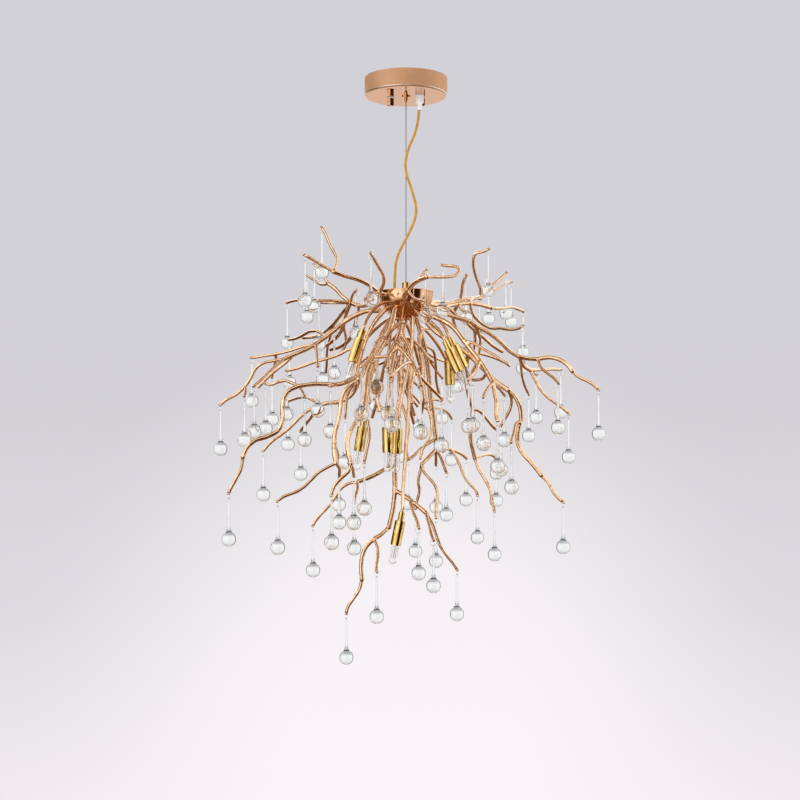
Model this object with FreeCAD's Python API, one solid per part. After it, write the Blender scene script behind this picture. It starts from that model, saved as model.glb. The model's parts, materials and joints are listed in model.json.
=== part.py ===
import FreeCAD, Part
import math
import os
from FreeCAD import Vector

# Branch chandelier: a round ceiling canopy, a steel rope, a hub and cast branches hung with glass drops.
# Millimetres, +Z up. The origin is on the ceiling, at the middle of the canopy.

# Overall size, and the traced picture that the branches follow
spread = 596.9
view_distance = 2050.0
left_pixel = 208
right_pixel = 606
middle_pixel = 406
level_pixel = 450
hub_pixel = 293
pixel = spread / (right_pixel - left_pixel)
half_spread = spread / 2

# Canopy and ceiling bracket
canopy_radius = 62.0
canopy_height = 26.5
canopy_wall = 1.2
canopy_edge = 2.5
bracket_length = 104.0
bracket_width = 28.0
bracket_thickness = 2.0
slot_spacing = 78.0
slot_length = 14.0
slot_width = 5.0
stud_spacing = 46.6
stud_y = 7.0
stud_radius = 2.0
cap_nut_radius = 6.0
cap_nut_length = 13.0
washer_thickness = 1.2
cap_crown_share = 0.7
cap_neck_share = 0.8

# Rope gripper
barrel_radius = 5.0
barrel_length = 14.0
gripper_flange_radius = 6.5
gripper_flange_thickness = 1.6
plunger_radius = 2.6
plunger_tip_radius = 1.6
plunger_reach = 7.0
plunger_body_length = 9.0
plunger_travel = 2.5
lock_nut_across = 14.0
lock_nut_thickness = 4.0

# Rope and its ends
rope_radius = 0.7
rope_split = 0.2
tail_bend = 7.0
tail_length = 26.0
tail_gap = 2.1
collar_radius = 6.0
collar_height = 13.0
collar_stem_radius = 3.0
collar_nut_across = 10.0
collar_nut_thickness = 3.0
ferrule_radius = 2.4
ferrule_length = 8.0

# Cord, cord grip and terminal block
cord_radius = 2.0
grip_x = 20.3
grip_y = -6.0
grip_top_radius = 6.5
grip_top_length = 11.0
grip_nose_radius = 4.0
grip_nose_length = 11.0
grip_thread_radius = 4.5
grip_nut_across = 13.0
grip_nut_thickness = 3.0
grip_thread_spare = 1.0
grip_flare = 0.8
grip_taper_share = 0.8
terminal_length = 20.0
terminal_width = 12.0
terminal_height = 16.0
grommet_x = -17.0
grommet_y = -12.0
grommet_radius = 3.6
grommet_flange_radius = 5.4
grommet_flange = 2.0

# Hub
hub_drop = 318.0
hub_radius = 41.0
hub_wall = 4.0
lid_thickness = 3.0
lid_edge = 1.0
hub_depth = 38.0
socket_lead = 4.0
spigot_tail = 3.0

# Branches
stem_diameter = 7.4
bough_diameter = 6.4
twig_diameter = 4.8
stub_diameter = 5.6
spur_diameter = 4.4
knuckle_share = 1.12
bend_share = 0.45
least_turn = math.radians(0.02)
hole_setback = 3.2
hole_radius = 1.3

# Glass drops
loop_radius = 4.5
loop_wire = 0.7
ball_radius = 10.7
ball_drop = 66.0
neck_top_radius = 1.5
neck_radius = 2.5
neck_low_radius = 3.3
neck_collar_radius = 4.7
neck_collar_height = 1.4
neck_flare_share = 0.12
neck_straight_share = 0.5

# Lamps
arm_diameter = 5.2
arm_lead = 6.0
neck_length = 13.0
neck_outer_radius = 4.5
sleeve_radius = 7.8
sleeve_length = 36.0
sleeve_wall = 0.8
socket_radius = 6.7
socket_length = 16.0
bulb_radius = 6.0
bulb_length = 28.0
bulb_base_width = 9.0
bulb_base_thickness = 4.4
bulb_base_depth = 12.0
bulb_pinch = 6.0

# Clearances and one overrun for every cut
fit = 0.1
slide_fit = 0.15
overrun = 5.0

# Heights worked out from the sizes above
canopy_floor = -canopy_height
flange_bottom = canopy_floor - gripper_flange_thickness
plunger_bottom = flange_bottom - plunger_reach
grip_bottom = canopy_floor - grip_top_length - grip_nose_length
lid_top = -hub_drop
lid_bottom = lid_top - lid_thickness
hub_centre = Vector(0, 0, lid_bottom)
eye_height = lid_bottom - (level_pixel - hub_pixel) * pixel
up = Vector(0, 0, 1)
down = Vector(0, 0, -1)
branch_radius = {
    "stem": stem_diameter / 2,
    "bough": bough_diameter / 2,
    "twig": twig_diameter / 2,
    "stub": stub_diameter / 2,
    "spur": spur_diameter / 2,
    "arm": arm_diameter / 2,
}
bare_kinds = ("stub", "spur")


def save(node, shape):
    """Writes one node's solids as parts/NODE.step."""
    shape.exportStep("parts/" + node + ".step")


def place(sighted, depth):
    """A point seen at a traced pixel, put at its depth behind the middle plane."""
    reach = pixel * (view_distance + depth) / view_distance
    x = (sighted[0] - middle_pixel) * reach
    z = (level_pixel - sighted[1]) * reach + eye_height
    return Vector(x, depth, z)


def sight(point):
    """The pixel at which a point is seen."""
    reach = pixel * (view_distance + point.y) / view_distance
    return (middle_pixel + point.x / reach, level_pixel - (point.z - eye_height) / reach)


def traced_points(start, traced, end_depth):
    """The points of a traced line after its start; the depth changes evenly along the line."""
    sighted = [sight(start)] + list(traced)
    along = [0.0]
    for here, there in zip(sighted, sighted[1:]):
        along.append(along[-1] + math.dist(here, there))
    points = []
    for spot, so_far in zip(sighted[1:], along[1:]):
        depth = start.y + (end_depth - start.y) * so_far / along[-1]
        points.append(place(spot, depth))
    return points


def rounded_path(points):
    """Straight runs joined by tangent arcs: the wire, the arcs' radii and the line's point at each corner."""
    edges = []
    radii = []
    corners = [points[0]]
    start = points[0]
    for before, corner, after in zip(points, points[1:], points[2:]):
        back = before - corner
        ahead = after - corner
        run = min(back.Length, ahead.Length)
        back.normalize()
        ahead.normalize()
        turn = math.pi - back.getAngle(ahead)
        if turn < least_turn:
            corners.append(corner)
            continue
        trim = bend_share * run
        radius = trim / math.tan(turn / 2)
        inward = back + ahead
        inward.normalize()
        middle = corner + inward * (radius / math.cos(turn / 2) - radius)
        enter = corner + back * trim
        leave = corner + ahead * trim
        edges.append(Part.LineSegment(start, enter).toShape())
        edges.append(Part.Arc(enter, middle, leave).toShape())
        radii.append(radius)
        corners.append(middle)
        start = leave
    edges.append(Part.LineSegment(start, points[-1]).toShape())
    corners.append(points[-1])
    return Part.Wire(edges), radii, corners


def tube(points, radius):
    """A round rod along a path of runs and arcs."""
    wire, radii, corners = rounded_path(points)
    section = Part.Face(Part.Wire(Part.makeCircle(radius, points[0], points[1] - points[0])))
    return wire.makePipe(section)


def turned(outline, foot, axis):
    """Turns an outline of (radius, height) points round an axis that starts at a foot point."""
    points = [Vector(radius, 0, height) for radius, height in outline]
    face = Part.Face(Part.makePolygon(points + points[:1]))
    solid = face.revolve(Vector(0, 0, 0), up, 360)
    solid.Placement = FreeCAD.Placement(foot, FreeCAD.Rotation(up, axis))
    return solid


def rod(radius, length, foot, axis):
    """A plain cylinder."""
    return Part.makeCylinder(radius, length, foot, axis)


def hexagon(across, height, foot):
    """A hexagonal nut blank standing on a foot point."""
    corner = across / 2 / math.cos(math.pi / 6)
    points = []
    for step in range(6):
        angle = math.pi / 3 * step
        points.append(foot + Vector(corner * math.cos(angle), corner * math.sin(angle), 0))
    return Part.Face(Part.makePolygon(points + points[:1])).extrude(up * height)


def canopy_parts():
    """The ceiling bracket, its studs, the canopy and its cap nuts."""
    half_stud = stud_spacing / 2
    bar = Part.makeBox(bracket_length, bracket_width, bracket_thickness,
                       Vector(-bracket_length / 2, -bracket_width / 2, -bracket_thickness))
    cuts = []
    for side in (-1, 1):
        middle = side * slot_spacing / 2
        straight = slot_length - slot_width
        low = Vector(middle - straight / 2, -slot_width / 2, -bracket_thickness - overrun)
        depth = bracket_thickness + 2 * overrun
        cuts.append(Part.makeBox(straight, slot_width, depth, low))
        for end in (-1, 1):
            foot = Vector(middle + end * straight / 2, 0, -bracket_thickness - overrun)
            cuts.append(rod(slot_width / 2, depth, foot, up))
        foot = Vector(side * half_stud, stud_y, -bracket_thickness - overrun)
        cuts.append(rod(stud_radius + fit, depth, foot, up))
    save("ceiling_bracket", bar.cut(cuts))

    nut_seat = canopy_floor - washer_thickness
    studs = []
    nuts = []
    for side in (-1, 1):
        stud_end = Vector(side * half_stud, stud_y, nut_seat - cap_nut_length / 2)
        studs.append(rod(stud_radius, -stud_end.z, stud_end, up))
        outline = [
            (stud_radius + fit, canopy_floor), (cap_nut_radius, canopy_floor), (cap_nut_radius, nut_seat),
            (cap_nut_radius * cap_neck_share, nut_seat),
            (cap_nut_radius, nut_seat - washer_thickness),
            (cap_nut_radius, canopy_floor - cap_nut_length + canopy_edge),
            (cap_nut_radius * cap_crown_share, canopy_floor - cap_nut_length),
            (0, canopy_floor - cap_nut_length),
            (0, stud_end.z - fit), (stud_radius + fit, stud_end.z - fit),
        ]
        nuts.append(turned(outline, Vector(side * half_stud, stud_y, 0), up))
    save("bracket_studs", Part.makeCompound(studs))
    save("canopy_cap_nuts", Part.makeCompound(nuts))

    outside = rod(canopy_radius, canopy_height, Vector(0, 0, canopy_floor), up)
    lower_edge = [edge for edge in outside.Edges if abs(edge.BoundBox.ZMax - canopy_floor) < fit]
    outside = outside.makeFillet(canopy_edge, lower_edge)
    inside = rod(canopy_radius - canopy_wall, canopy_height, Vector(0, 0, canopy_floor + canopy_wall), up)
    lower_edge = [edge for edge in inside.Edges if abs(edge.BoundBox.ZMax - canopy_floor - canopy_wall) < fit]
    inside = inside.makeFillet(canopy_edge - canopy_wall, lower_edge)
    shell = outside.cut(inside)
    foot_height = canopy_floor - overrun
    depth = canopy_wall + 2 * overrun
    holes = [rod(barrel_radius + fit, depth, Vector(0, 0, foot_height), up),
             rod(grip_thread_radius + fit, depth, Vector(grip_x, grip_y, foot_height), up)]
    for side in (-1, 1):
        holes.append(rod(stud_radius + fit, depth, Vector(side * half_stud, stud_y, foot_height), up))
    save("canopy_shell", shell.cut(holes))


def gripper_parts():
    """The rope gripper: threaded body, lock nut and the plunger that frees the rope when it is pressed up."""
    barrel_top = canopy_floor + barrel_length
    chamber_top = plunger_bottom + plunger_reach + plunger_body_length + plunger_travel + fit
    bore = rope_radius + slide_fit
    outline = [
        (plunger_radius + slide_fit, flange_bottom), (gripper_flange_radius, flange_bottom),
        (gripper_flange_radius, canopy_floor), (barrel_radius, canopy_floor), (barrel_radius, barrel_top),
        (bore, barrel_top), (bore, chamber_top), (plunger_radius + slide_fit, chamber_top),
    ]
    save("gripper_body", turned(outline, Vector(0, 0, 0), up))
    outline = [
        (bore, plunger_bottom), (plunger_tip_radius, plunger_bottom),
        (plunger_radius, plunger_bottom + plunger_travel),
        (plunger_radius, flange_bottom + plunger_body_length),
        (bore, flange_bottom + plunger_body_length),
    ]
    save("gripper_plunger", turned(outline, Vector(0, 0, 0), up))
    floor_top = canopy_floor + canopy_wall
    nut = hexagon(lock_nut_across, lock_nut_thickness, Vector(0, 0, floor_top))
    hole = rod(barrel_radius + fit, lock_nut_thickness + 2 * overrun, Vector(0, 0, floor_top - overrun), up)
    save("gripper_lock_nut", nut.cut(hole))

    tail_height = -bracket_thickness - tail_gap
    aside = tail_length * math.cos(math.pi / 4)
    tail_points = [
        Vector(0, 0, plunger_bottom + rope_split / 2),
        Vector(0, 0, tail_height),
        Vector(-aside, aside, tail_height),
    ]
    save("rope_tail", rope_bend(tail_points))


def rope_bend(points):
    """The rope's tail: two straight runs and one bend of a set radius."""
    back = points[0] - points[1]
    ahead = points[2] - points[1]
    back.normalize()
    ahead.normalize()
    turn = math.pi - back.getAngle(ahead)
    trim = tail_bend * math.tan(turn / 2)
    inward = back + ahead
    inward.normalize()
    middle = points[1] + inward * (tail_bend / math.cos(turn / 2) - tail_bend)
    enter = points[1] + back * trim
    leave = points[1] + ahead * trim
    wire = Part.Wire([
        Part.LineSegment(points[0], enter).toShape(),
        Part.Arc(enter, middle, leave).toShape(),
        Part.LineSegment(leave, points[2]).toShape(),
    ])
    section = Part.Face(Part.Wire(Part.makeCircle(rope_radius, points[0], back * -1)))
    return wire.makePipe(section)


def cord_entry_parts():
    """The clear cord grip in the canopy, its nut, and the terminal block that the cord goes up into."""
    grip_foot = Vector(grip_x, grip_y, 0)
    floor_top = canopy_floor + canopy_wall
    thread_top = floor_top + grip_nut_thickness + grip_thread_spare
    shoulder = canopy_floor - grip_top_length
    bore = cord_radius + fit
    outline = [
        (bore, thread_top), (grip_thread_radius, thread_top), (grip_thread_radius, canopy_floor),
        (grip_top_radius, canopy_floor), (grip_top_radius, shoulder), (grip_nose_radius, shoulder - fit),
        (grip_nose_radius * grip_taper_share, grip_bottom), (bore + grip_flare, grip_bottom), (bore, shoulder),
    ]
    save("cord_grip", turned(outline, grip_foot, up))
    nut_foot = Vector(grip_x, grip_y, floor_top)
    nut = hexagon(grip_nut_across, grip_nut_thickness, nut_foot)
    hole = rod(grip_thread_radius + fit, grip_nut_thickness + 2 * overrun, nut_foot - up * overrun, up)
    save("cord_grip_nut", nut.cut(hole))
    block_low = Vector(grip_x - terminal_length / 2, grip_y - terminal_width / 2,
                       -bracket_thickness - terminal_height)
    block = Part.makeBox(terminal_length, terminal_width, terminal_height, block_low)
    save("terminal_block", block)


# The cord's route, chosen by hand: up in the terminal block, out of the grip, one slack S, down into the hub
cord_route = [
    (20.3, -6.0, -18.0),
    (20.3, -6.0, -50.0),
    (15.0, -7.5, -82.0),
    (1.5, -9.5, -110.0),
    (-2.0, -10.0, -138.0),
    (9.0, -10.0, -168.0),
    (18.0, -10.0, -202.0),
    (3.0, -11.0, -237.0),
    (-14.0, -12.0, -267.0),
    (-17.0, -12.0, -297.0),
    (-17.0, -12.0, -324.0),
]
drawn_cord_drop = 324.0


def cord_parts():
    """The power cord with its drawn slack, stretched only in height if the hub hangs lower."""
    cord_end = hub_drop + lid_thickness + spigot_tail
    stretch = (cord_end - terminal_bottom()) / (drawn_cord_drop - cord_route_top())
    points = []
    for x, y, z in cord_route:
        height = -terminal_bottom() - (-z - cord_route_top()) * stretch
        points.append(Vector(x, y, height))
    wire, radii, corners = rounded_path(points)
    solid = tube(points, cord_radius)
    print("cord arc radii", [round(radius, 1) for radius in radii], "length", round(wire.Length, 1))
    print("cord volume", round(solid.Volume, 1), "section x length",
          round(math.pi * cord_radius ** 2 * wire.Length, 1))
    save("power_cord", solid)


def terminal_bottom():
    """How far the terminal block's underside lies below the ceiling."""
    return bracket_thickness + terminal_height


def cord_route_top():
    """How far the drawn route's first point lies below the ceiling."""
    return -cord_route[0][2]


def hub_parts(roots):
    """The hub: a lid, a thick bowl with one round socket for each branch root, and what passes the lid."""
    below = lid_bottom - overrun
    depth = lid_thickness + 2 * overrun
    lid = rod(hub_radius, lid_thickness, Vector(0, 0, lid_bottom), up)
    lid = lid.makeFillet(lid_edge, [edge for edge in lid.Edges
                                    if abs(edge.BoundBox.ZMin - lid_top) < fit])
    holes = [rod(collar_stem_radius + fit, depth, Vector(0, 0, below), up),
             rod(grommet_radius + fit, depth, Vector(grommet_x, grommet_y, below), up)]
    save("hub_lid", lid.cut(holes))

    bowl = Part.makeSphere(hub_radius, hub_centre)
    bowl = bowl.cut(Part.makeSphere(hub_radius - hub_wall, hub_centre))
    keep = Part.makeBox(4 * hub_radius, 4 * hub_radius, hub_depth,
                        Vector(-2 * hub_radius, -2 * hub_radius, lid_bottom - hub_depth))
    bowl = bowl.common(keep)
    floor = rod(math.sqrt(hub_radius ** 2 - hub_depth ** 2), hub_wall,
                Vector(0, 0, lid_bottom - hub_depth), up)
    bowl = bowl.fuse(floor)
    sockets = []
    for direction, radius in roots:
        foot = hub_centre + direction * (hub_radius - hub_wall - overrun)
        sockets.append(rod(radius + fit, hub_wall + 2 * overrun, foot, direction))
    save("hub_bowl", bowl.cut(sockets))

    collar_top = lid_top + collar_height
    nut_bottom = lid_bottom - collar_nut_thickness
    bore = rope_radius + slide_fit
    outline = [
        (bore, nut_bottom), (collar_stem_radius, nut_bottom), (collar_stem_radius, lid_top),
        (collar_radius, lid_top), (collar_radius, collar_top - rope_radius),
        (collar_radius - rope_radius, collar_top), (bore, collar_top),
    ]
    save("rope_collar", turned(outline, Vector(0, 0, 0), up))
    nut = hexagon(collar_nut_across, collar_nut_thickness, Vector(0, 0, nut_bottom))
    hole_foot = Vector(0, 0, nut_bottom - overrun)
    hole = rod(collar_stem_radius + fit, collar_nut_thickness + 2 * overrun, hole_foot, up)
    save("rope_collar_nut", nut.cut(hole))

    ferrule_bottom = nut_bottom - ferrule_length
    rope_top = plunger_bottom - rope_split / 2
    rope_end = ferrule_bottom + rope_radius
    save("suspension_rope", rod(rope_radius, rope_top - rope_end, Vector(0, 0, rope_end), up))
    outline = [
        (rope_radius + fit, nut_bottom), (ferrule_radius, nut_bottom), (ferrule_radius, ferrule_bottom),
        (0, ferrule_bottom), (0, rope_end), (rope_radius + fit, rope_end),
    ]
    save("rope_ferrule", turned(outline, Vector(0, 0, 0), up))

    bore = cord_radius + fit
    outline = [
        (bore, lid_bottom), (grommet_radius, lid_bottom), (grommet_radius, lid_top),
        (grommet_flange_radius, lid_top),
        (grommet_flange_radius, lid_top + grommet_flange / 2), (grommet_radius, lid_top + grommet_flange),
        (bore, lid_top + grommet_flange),
    ]
    save("hub_grommet", turned(outline, Vector(grommet_x, grommet_y, 0), up))


# Every limb: its root's heading and dip round the hub in degrees, then its branches. A branch has the number
# of the branch that it grows from and of the traced point there, its end's depth as a share of half the
# spread, its thickness, and the pixels that it passes. The first branch grows from the hub. A branch that
# no other one continues ends in a tip with a drop, but a stub or a spur ends bare.
limb_depth_shares = {
    "limb_upper_left": ((226, 8), [
        (None, None, -0.22, "bough", [(379, 293), (368, 284), (357, 279), (345, 276), (334, 272)]),
        (0, -1, -0.12, "twig", [(337, 263), (336, 255), (330, 245), (326, 234), (321, 226)]),
        (0, -1, -0.24, "twig", [(325, 267), (314, 260), (303, 254)]),
        (0, 0, -0.34, "twig", [(384, 284), (384, 276), (377, 264), (370, 252)]),
        (0, 0, -0.22, "spur", [(373, 296), (367, 299)]),
        (0, 0, -0.24, "spur", [(378, 302), (370, 309)]),
    ]),
    "limb_left_rear": ((150, 16), [
        (None, None, 0.20, "stem", [(368, 305), (359, 306), (351, 303)]),
        (0, -1, 0.27, "bough", [(343, 297), (336, 289), (329, 284)]),
        (1, -1, 0.30, "twig", [(324, 277), (319, 269), (313, 263)]),
        (1, -1, 0.42, "twig", [(321, 285), (313, 279), (306, 275)]),
        (0, -1, 0.12, "twig", [(342, 302), (330, 300), (317, 301)]),
        (0, -1, 0.58, "twig", [(338, 303), (322, 303), (308, 301), (296, 300), (286, 303)]),
        (0, -1, 0.08, "twig", [(352, 296), (357, 289)]),
        (0, -1, 0.62, "stub", [(343, 312), (335, 323), (326, 332), (315, 337), (303, 338)]),
        (0, -1, 0.48, "stub", [(346, 314), (344, 326), (338, 337), (328, 345), (316, 350)]),
        (7, 1, 0.70, "spur", [(330, 338), (327, 350), (327, 362), (326, 373)]),
        (8, 1, 0.40, "spur", [(346, 336), (346, 345), (342, 352), (333, 357)]),
        (0, 1, 0.44, "stub", [(357, 317), (354, 329), (350, 340), (341, 347), (330, 350)]),
    ]),
    "limb_left": ((178, 36), [
        (None, None, 0.02, "stem", [(366, 311), (358, 314), (350, 318), (343, 323)]),
        (0, -1, -0.02, "bough", [(335, 330), (326, 337), (316, 344)]),
        (1, -1, 0.10, "twig", [(304, 346), (290, 351), (276, 354), (263, 356), (250, 358)]),
        (1, 1, 0.24, "twig", [(318, 331), (310, 331), (302, 336), (295, 339), (288, 340)]),
        (1, -1, -0.08, "bough", [(305, 350), (295, 354), (284, 359)]),
        (4, -1, -0.06, "twig", [(272, 361), (262, 363), (255, 369), (251, 378), (245, 387), (236, 395),
                                (227, 399), (219, 406)]),
        (4, -1, -0.28, "twig", [(277, 365), (269, 372), (261, 380), (253, 387)]),
        (1, -1, -0.16, "twig", [(317, 355), (318, 367)]),
        (2, 2, 0.22, "twig", [(276, 362), (273, 370), (272, 378)]),
        (5, 4, -0.12, "twig", [(246, 391), (244, 397)]),
        (0, -1, 0.24, "twig", [(338, 325), (334, 331)]),
        (1, 0, 0.34, "twig", [(329, 332), (322, 338)]),
        (4, 1, 0.02, "spur", [(287, 362), (276, 370), (266, 379), (258, 388)]),
    ]),
    "limb_lower_left": ((203, 38), [
        (None, None, -0.16, "stem", [(374, 322), (367, 335), (362, 350), (358, 364), (356, 377)]),
        (0, -1, -0.24, "bough", [(347, 382), (337, 385), (325, 384), (312, 384), (299, 386)]),
        (1, -1, -0.14, "twig", [(292, 383), (285, 380), (278, 382), (271, 385), (264, 383)]),
        (1, -1, -0.34, "bough", [(289, 390), (284, 397), (282, 408), (283, 420), (279, 431), (267, 437),
                                 (255, 440), (247, 447), (243, 457)]),
        (3, -1, -0.34, "twig", [(242, 468), (236, 479), (231, 488), (228, 495)]),
        (1, 1, -0.24, "twig", [(333, 386), (329, 386)]),
        (0, -1, -0.04, "bough", [(356, 389), (350, 397), (340, 402), (328, 403), (318, 405)]),
        (6, -1, -0.02, "twig", [(309, 410), (300, 417), (291, 427), (282, 434), (272, 441), (262, 452)]),
        (6, -1, 0.12, "twig", [(311, 418), (305, 425), (300, 432)]),
        (6, -1, 0.20, "twig", [(313, 400), (306, 397), (297, 398), (287, 402)]),
        (0, 2, 0.08, "twig", [(350, 348), (341, 354), (330, 358), (318, 361), (306, 365), (296, 369),
                              (285, 371)]),
        (1, -1, -0.08, "twig", [(302, 390), (305, 396)]),
    ]),
    "limb_inner_left": ((222, 54), [
        (None, None, -0.26, "stem", [(384, 330), (378, 342), (372, 355), (366, 368), (359, 379)]),
        (0, -1, -0.36, "bough", [(350, 385), (344, 392), (341, 400), (340, 411), (338, 422), (335, 432),
                                 (334, 443), (334, 453), (336, 463)]),
        (1, -1, -0.42, "twig", [(328, 467), (319, 472), (311, 480), (303, 488), (294, 493), (284, 496),
                                (276, 502)]),
        (1, -1, -0.26, "twig", [(340, 469), (339, 478)]),
        (0, -1, -0.22, "twig", [(352, 386), (347, 395), (346, 407), (345, 419)]),
        (1, 6, -0.02, "twig", [(338, 451), (339, 461)]),
        (0, 2, -0.29, "spur", [(372, 364), (369, 376), (368, 390), (370, 404)]),
    ]),
    "limb_front_left": ((243, 38), [
        (None, None, -0.42, "stem", [(392, 325), (387, 338), (380, 350), (372, 362), (367, 376), (366, 392),
                                     (364, 408)]),
        (0, -1, -0.52, "bough", [(357, 420), (351, 430), (347, 441), (348, 453), (351, 463)]),
        (1, -1, -0.54, "twig", [(349, 472), (341, 478), (334, 486), (331, 497)]),
        (0, -1, -0.40, "twig", [(368, 422), (370, 436), (367, 450), (364, 464)]),
        (0, 3, -0.56, "twig", [(366, 361), (361, 367)]),
        (0, 1, -0.34, "twig", [(381, 337), (376, 342)]),
        (1, -1, -0.42, "twig", [(353, 470), (354, 477)]),
        (0, 0, -0.16, "spur", [(390, 340), (388, 356), (388, 372), (391, 390)]),
        (0, 1, -0.42, "spur", [(391, 331), (397, 326), (404, 322)]),
        (0, 2, -0.30, "stub", [(376, 364), (378, 380), (376, 396), (380, 412)]),
    ]),
    "limb_centre": ((120, 66), [
        (None, None, -0.08, "stem", [(404, 338), (403, 352), (401, 368), (402, 384), (400, 400), (397, 416),
                                     (396, 432), (394, 448), (394, 464), (395, 478), (395, 490)]),
        (0, -1, -0.08, "stem", [(394, 503), (392, 515), (389, 527)]),
        (1, -1, -0.12, "bough", [(382, 534), (374, 539)]),
        (2, -1, -0.10, "bough", [(366, 546), (362, 556), (361, 568), (362, 579)]),
        (3, -1, -0.08, "twig", [(360, 589), (354, 598), (348, 606), (346, 615)]),
        (2, -1, -0.24, "twig", [(378, 547), (378, 558), (376, 566), (377, 573)]),
        (0, -1, -0.14, "bough", [(402, 494), (410, 500), (418, 506), (426, 513)]),
        (6, -1, -0.12, "twig", [(432, 522), (436, 534), (440, 546), (447, 556), (454, 564), (458, 571)]),
        (6, -1, -0.32, "twig", [(429, 524), (431, 533), (434, 541)]),
        (6, 1, -0.26, "twig", [(413, 512), (417, 520), (419, 529)]),
        (0, 8, -0.14, "bough", [(386, 468), (377, 474), (366, 479), (357, 482)]),
        (10, -1, -0.16, "twig", [(349, 483), (341, 488), (336, 496), (330, 505), (322, 513), (316, 520),
                                 (312, 527)]),
        (10, -1, -0.26, "twig", [(358, 489), (355, 497), (354, 504)]),
        (0, 1, 0.10, "spur", [(397, 362), (393, 376), (391, 391), (393, 407)]),
        (0, 0, 0.06, "spur", [(413, 340), (422, 349), (427, 357), (434, 363)]),
        (0, 3, 0.04, "spur", [(406, 392), (411, 404), (415, 416)]),
        (0, 4, -0.02, "stub", [(406, 414), (409, 430), (405, 446), (408, 460)]),
    ]),
    "limb_inner_right": ((60, 48), [
        (None, None, 0.18, "stem", [(420, 330), (424, 345), (427, 360), (429, 376), (430, 392), (432, 408),
                                    (434, 424), (436, 438), (436, 449)]),
        (0, -1, 0.26, "twig", [(436, 457), (436, 466)]),
        (0, -1, 0.20, "twig", [(441, 457), (444, 466), (447, 474)]),
        (0, -1, 0.10, "bough", [(429, 457), (422, 464)]),
        (3, -1, -0.02, "twig", [(423, 471), (429, 478), (436, 486), (438, 496), (436, 507), (436, 519)]),
        (3, -1, 0.14, "twig", [(420, 472), (418, 482), (420, 491), (417, 501), (415, 510)]),
        (0, -1, 0.36, "twig", [(443, 449), (450, 449), (458, 452), (463, 455), (467, 459)]),
        (6, 1, 0.24, "twig", [(455, 454), (459, 463), (463, 473), (467, 481), (472, 486), (476, 490),
                              (478, 497)]),
        (0, -2, 0.08, "twig", [(428, 444), (420, 449), (414, 456), (406, 461)]),
        (0, 0, 0.36, "twig", [(430, 328), (440, 332), (449, 340), (459, 345)]),
        (0, 5, 0.40, "twig", [(440, 408), (448, 412), (452, 419)]),
        (0, 0, 0.02, "bough", [(419, 344), (423, 364), (423, 386), (426, 402)]),
        (11, -1, -0.04, "spur", [(432, 420), (431, 436), (423, 448), (420, 460)]),
        (11, 1, 0.12, "spur", [(415, 373), (409, 384), (409, 395), (418, 407)]),
        (11, -1, 0.10, "spur", [(434, 399), (442, 401)]),
        (0, 1, 0.34, "spur", [(434, 350), (436, 364), (436, 382), (440, 396)]),
    ]),
    "limb_right_front": ((318, 40), [
        (None, None, -0.30, "stem", [(436, 318), (447, 322), (456, 330), (464, 341), (472, 351), (480, 361),
                                     (487, 372), (493, 383)]),
        (0, -1, -0.42, "twig", [(487, 389), (483, 398)]),
        (0, -1, -0.38, "bough", [(495, 394), (497, 404), (496, 413), (498, 422)]),
        (0, 5, -0.46, "twig", [(478, 367), (474, 374), (468, 380)]),
        (0, 6, -0.20, "twig", [(483, 379), (477, 380), (471, 380)]),
        (0, -1, -0.16, "twig", [(500, 389), (505, 396)]),
        (0, 3, -0.34, "spur", [(474, 343), (485, 350), (496, 356), (508, 364)]),
    ]),
    "limb_lower_right": ((338, 56), [
        (None, None, -0.12, "stem", [(436, 332), (446, 339), (457, 346), (468, 354), (480, 365), (490, 376),
                                     (499, 384), (508, 390)]),
        (0, -1, -0.12, "bough", [(515, 396), (519, 404), (521, 412), (521, 420)]),
        (1, -1, -0.16, "bough", [(518, 430), (517, 440), (520, 450), (527, 458), (535, 467), (541, 475)]),
        (2, -1, -0.18, "twig", [(549, 483), (553, 492), (559, 499), (565, 503)]),
        (1, -1, -0.26, "twig", [(515, 424), (514, 433), (511, 443)]),
        (0, -1, -0.06, "twig", [(512, 399), (511, 408), (506, 417), (500, 427)]),
        (0, 3, 0.06, "bough", [(467, 368), (467, 384), (469, 398), (473, 409)]),
        (6, -1, 0.10, "twig", [(480, 411), (486, 418), (492, 426), (498, 431)]),
        (6, -1, 0.12, "bough", [(472, 422), (470, 435), (472, 447), (475, 458)]),
        (8, -1, 0.08, "twig", [(478, 468), (484, 478), (490, 488), (492, 499), (495, 513)]),
        (8, -1, 0.28, "twig", [(484, 455), (491, 454), (497, 459)]),
    ]),
    "limb_right": ((350, 32), [
        (None, None, 0.02, "bough", [(446, 314), (458, 318), (470, 321), (480, 328), (491, 334), (501, 342),
                                     (509, 351), (519, 357), (530, 359), (538, 359)]),
        (0, -1, -0.02, "bough", [(549, 357), (559, 359), (567, 364), (572, 371)]),
        (1, -1, -0.04, "twig", [(578, 377), (587, 381), (594, 385), (600, 391)]),
        (0, -1, -0.14, "twig", [(540, 367), (547, 373), (554, 378), (559, 384)]),
        (0, 7, 0.10, "bough", [(523, 366), (530, 370)]),
        (4, -1, 0.26, "twig", [(541, 370), (552, 369), (562, 370)]),
        (4, -1, 0.08, "twig", [(534, 378), (540, 389), (548, 398), (557, 404), (564, 409), (570, 415)]),
        (0, 7, 0.40, "twig", [(521, 366), (522, 377), (525, 387), (529, 395)]),
        (4, -1, 0.18, "twig", [(533, 373), (537, 375)]),
        (0, 2, 0.08, "spur", [(477, 329), (481, 341), (479, 355), (475, 367), (469, 377)]),
    ]),
    "limb_right_rear": ((28, 20), [
        (None, None, 0.30, "bough", [(446, 306), (458, 304), (470, 303), (482, 305), (491, 308)]),
        (0, -1, 0.54, "twig", [(501, 309), (511, 307), (518, 309), (524, 312)]),
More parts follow.
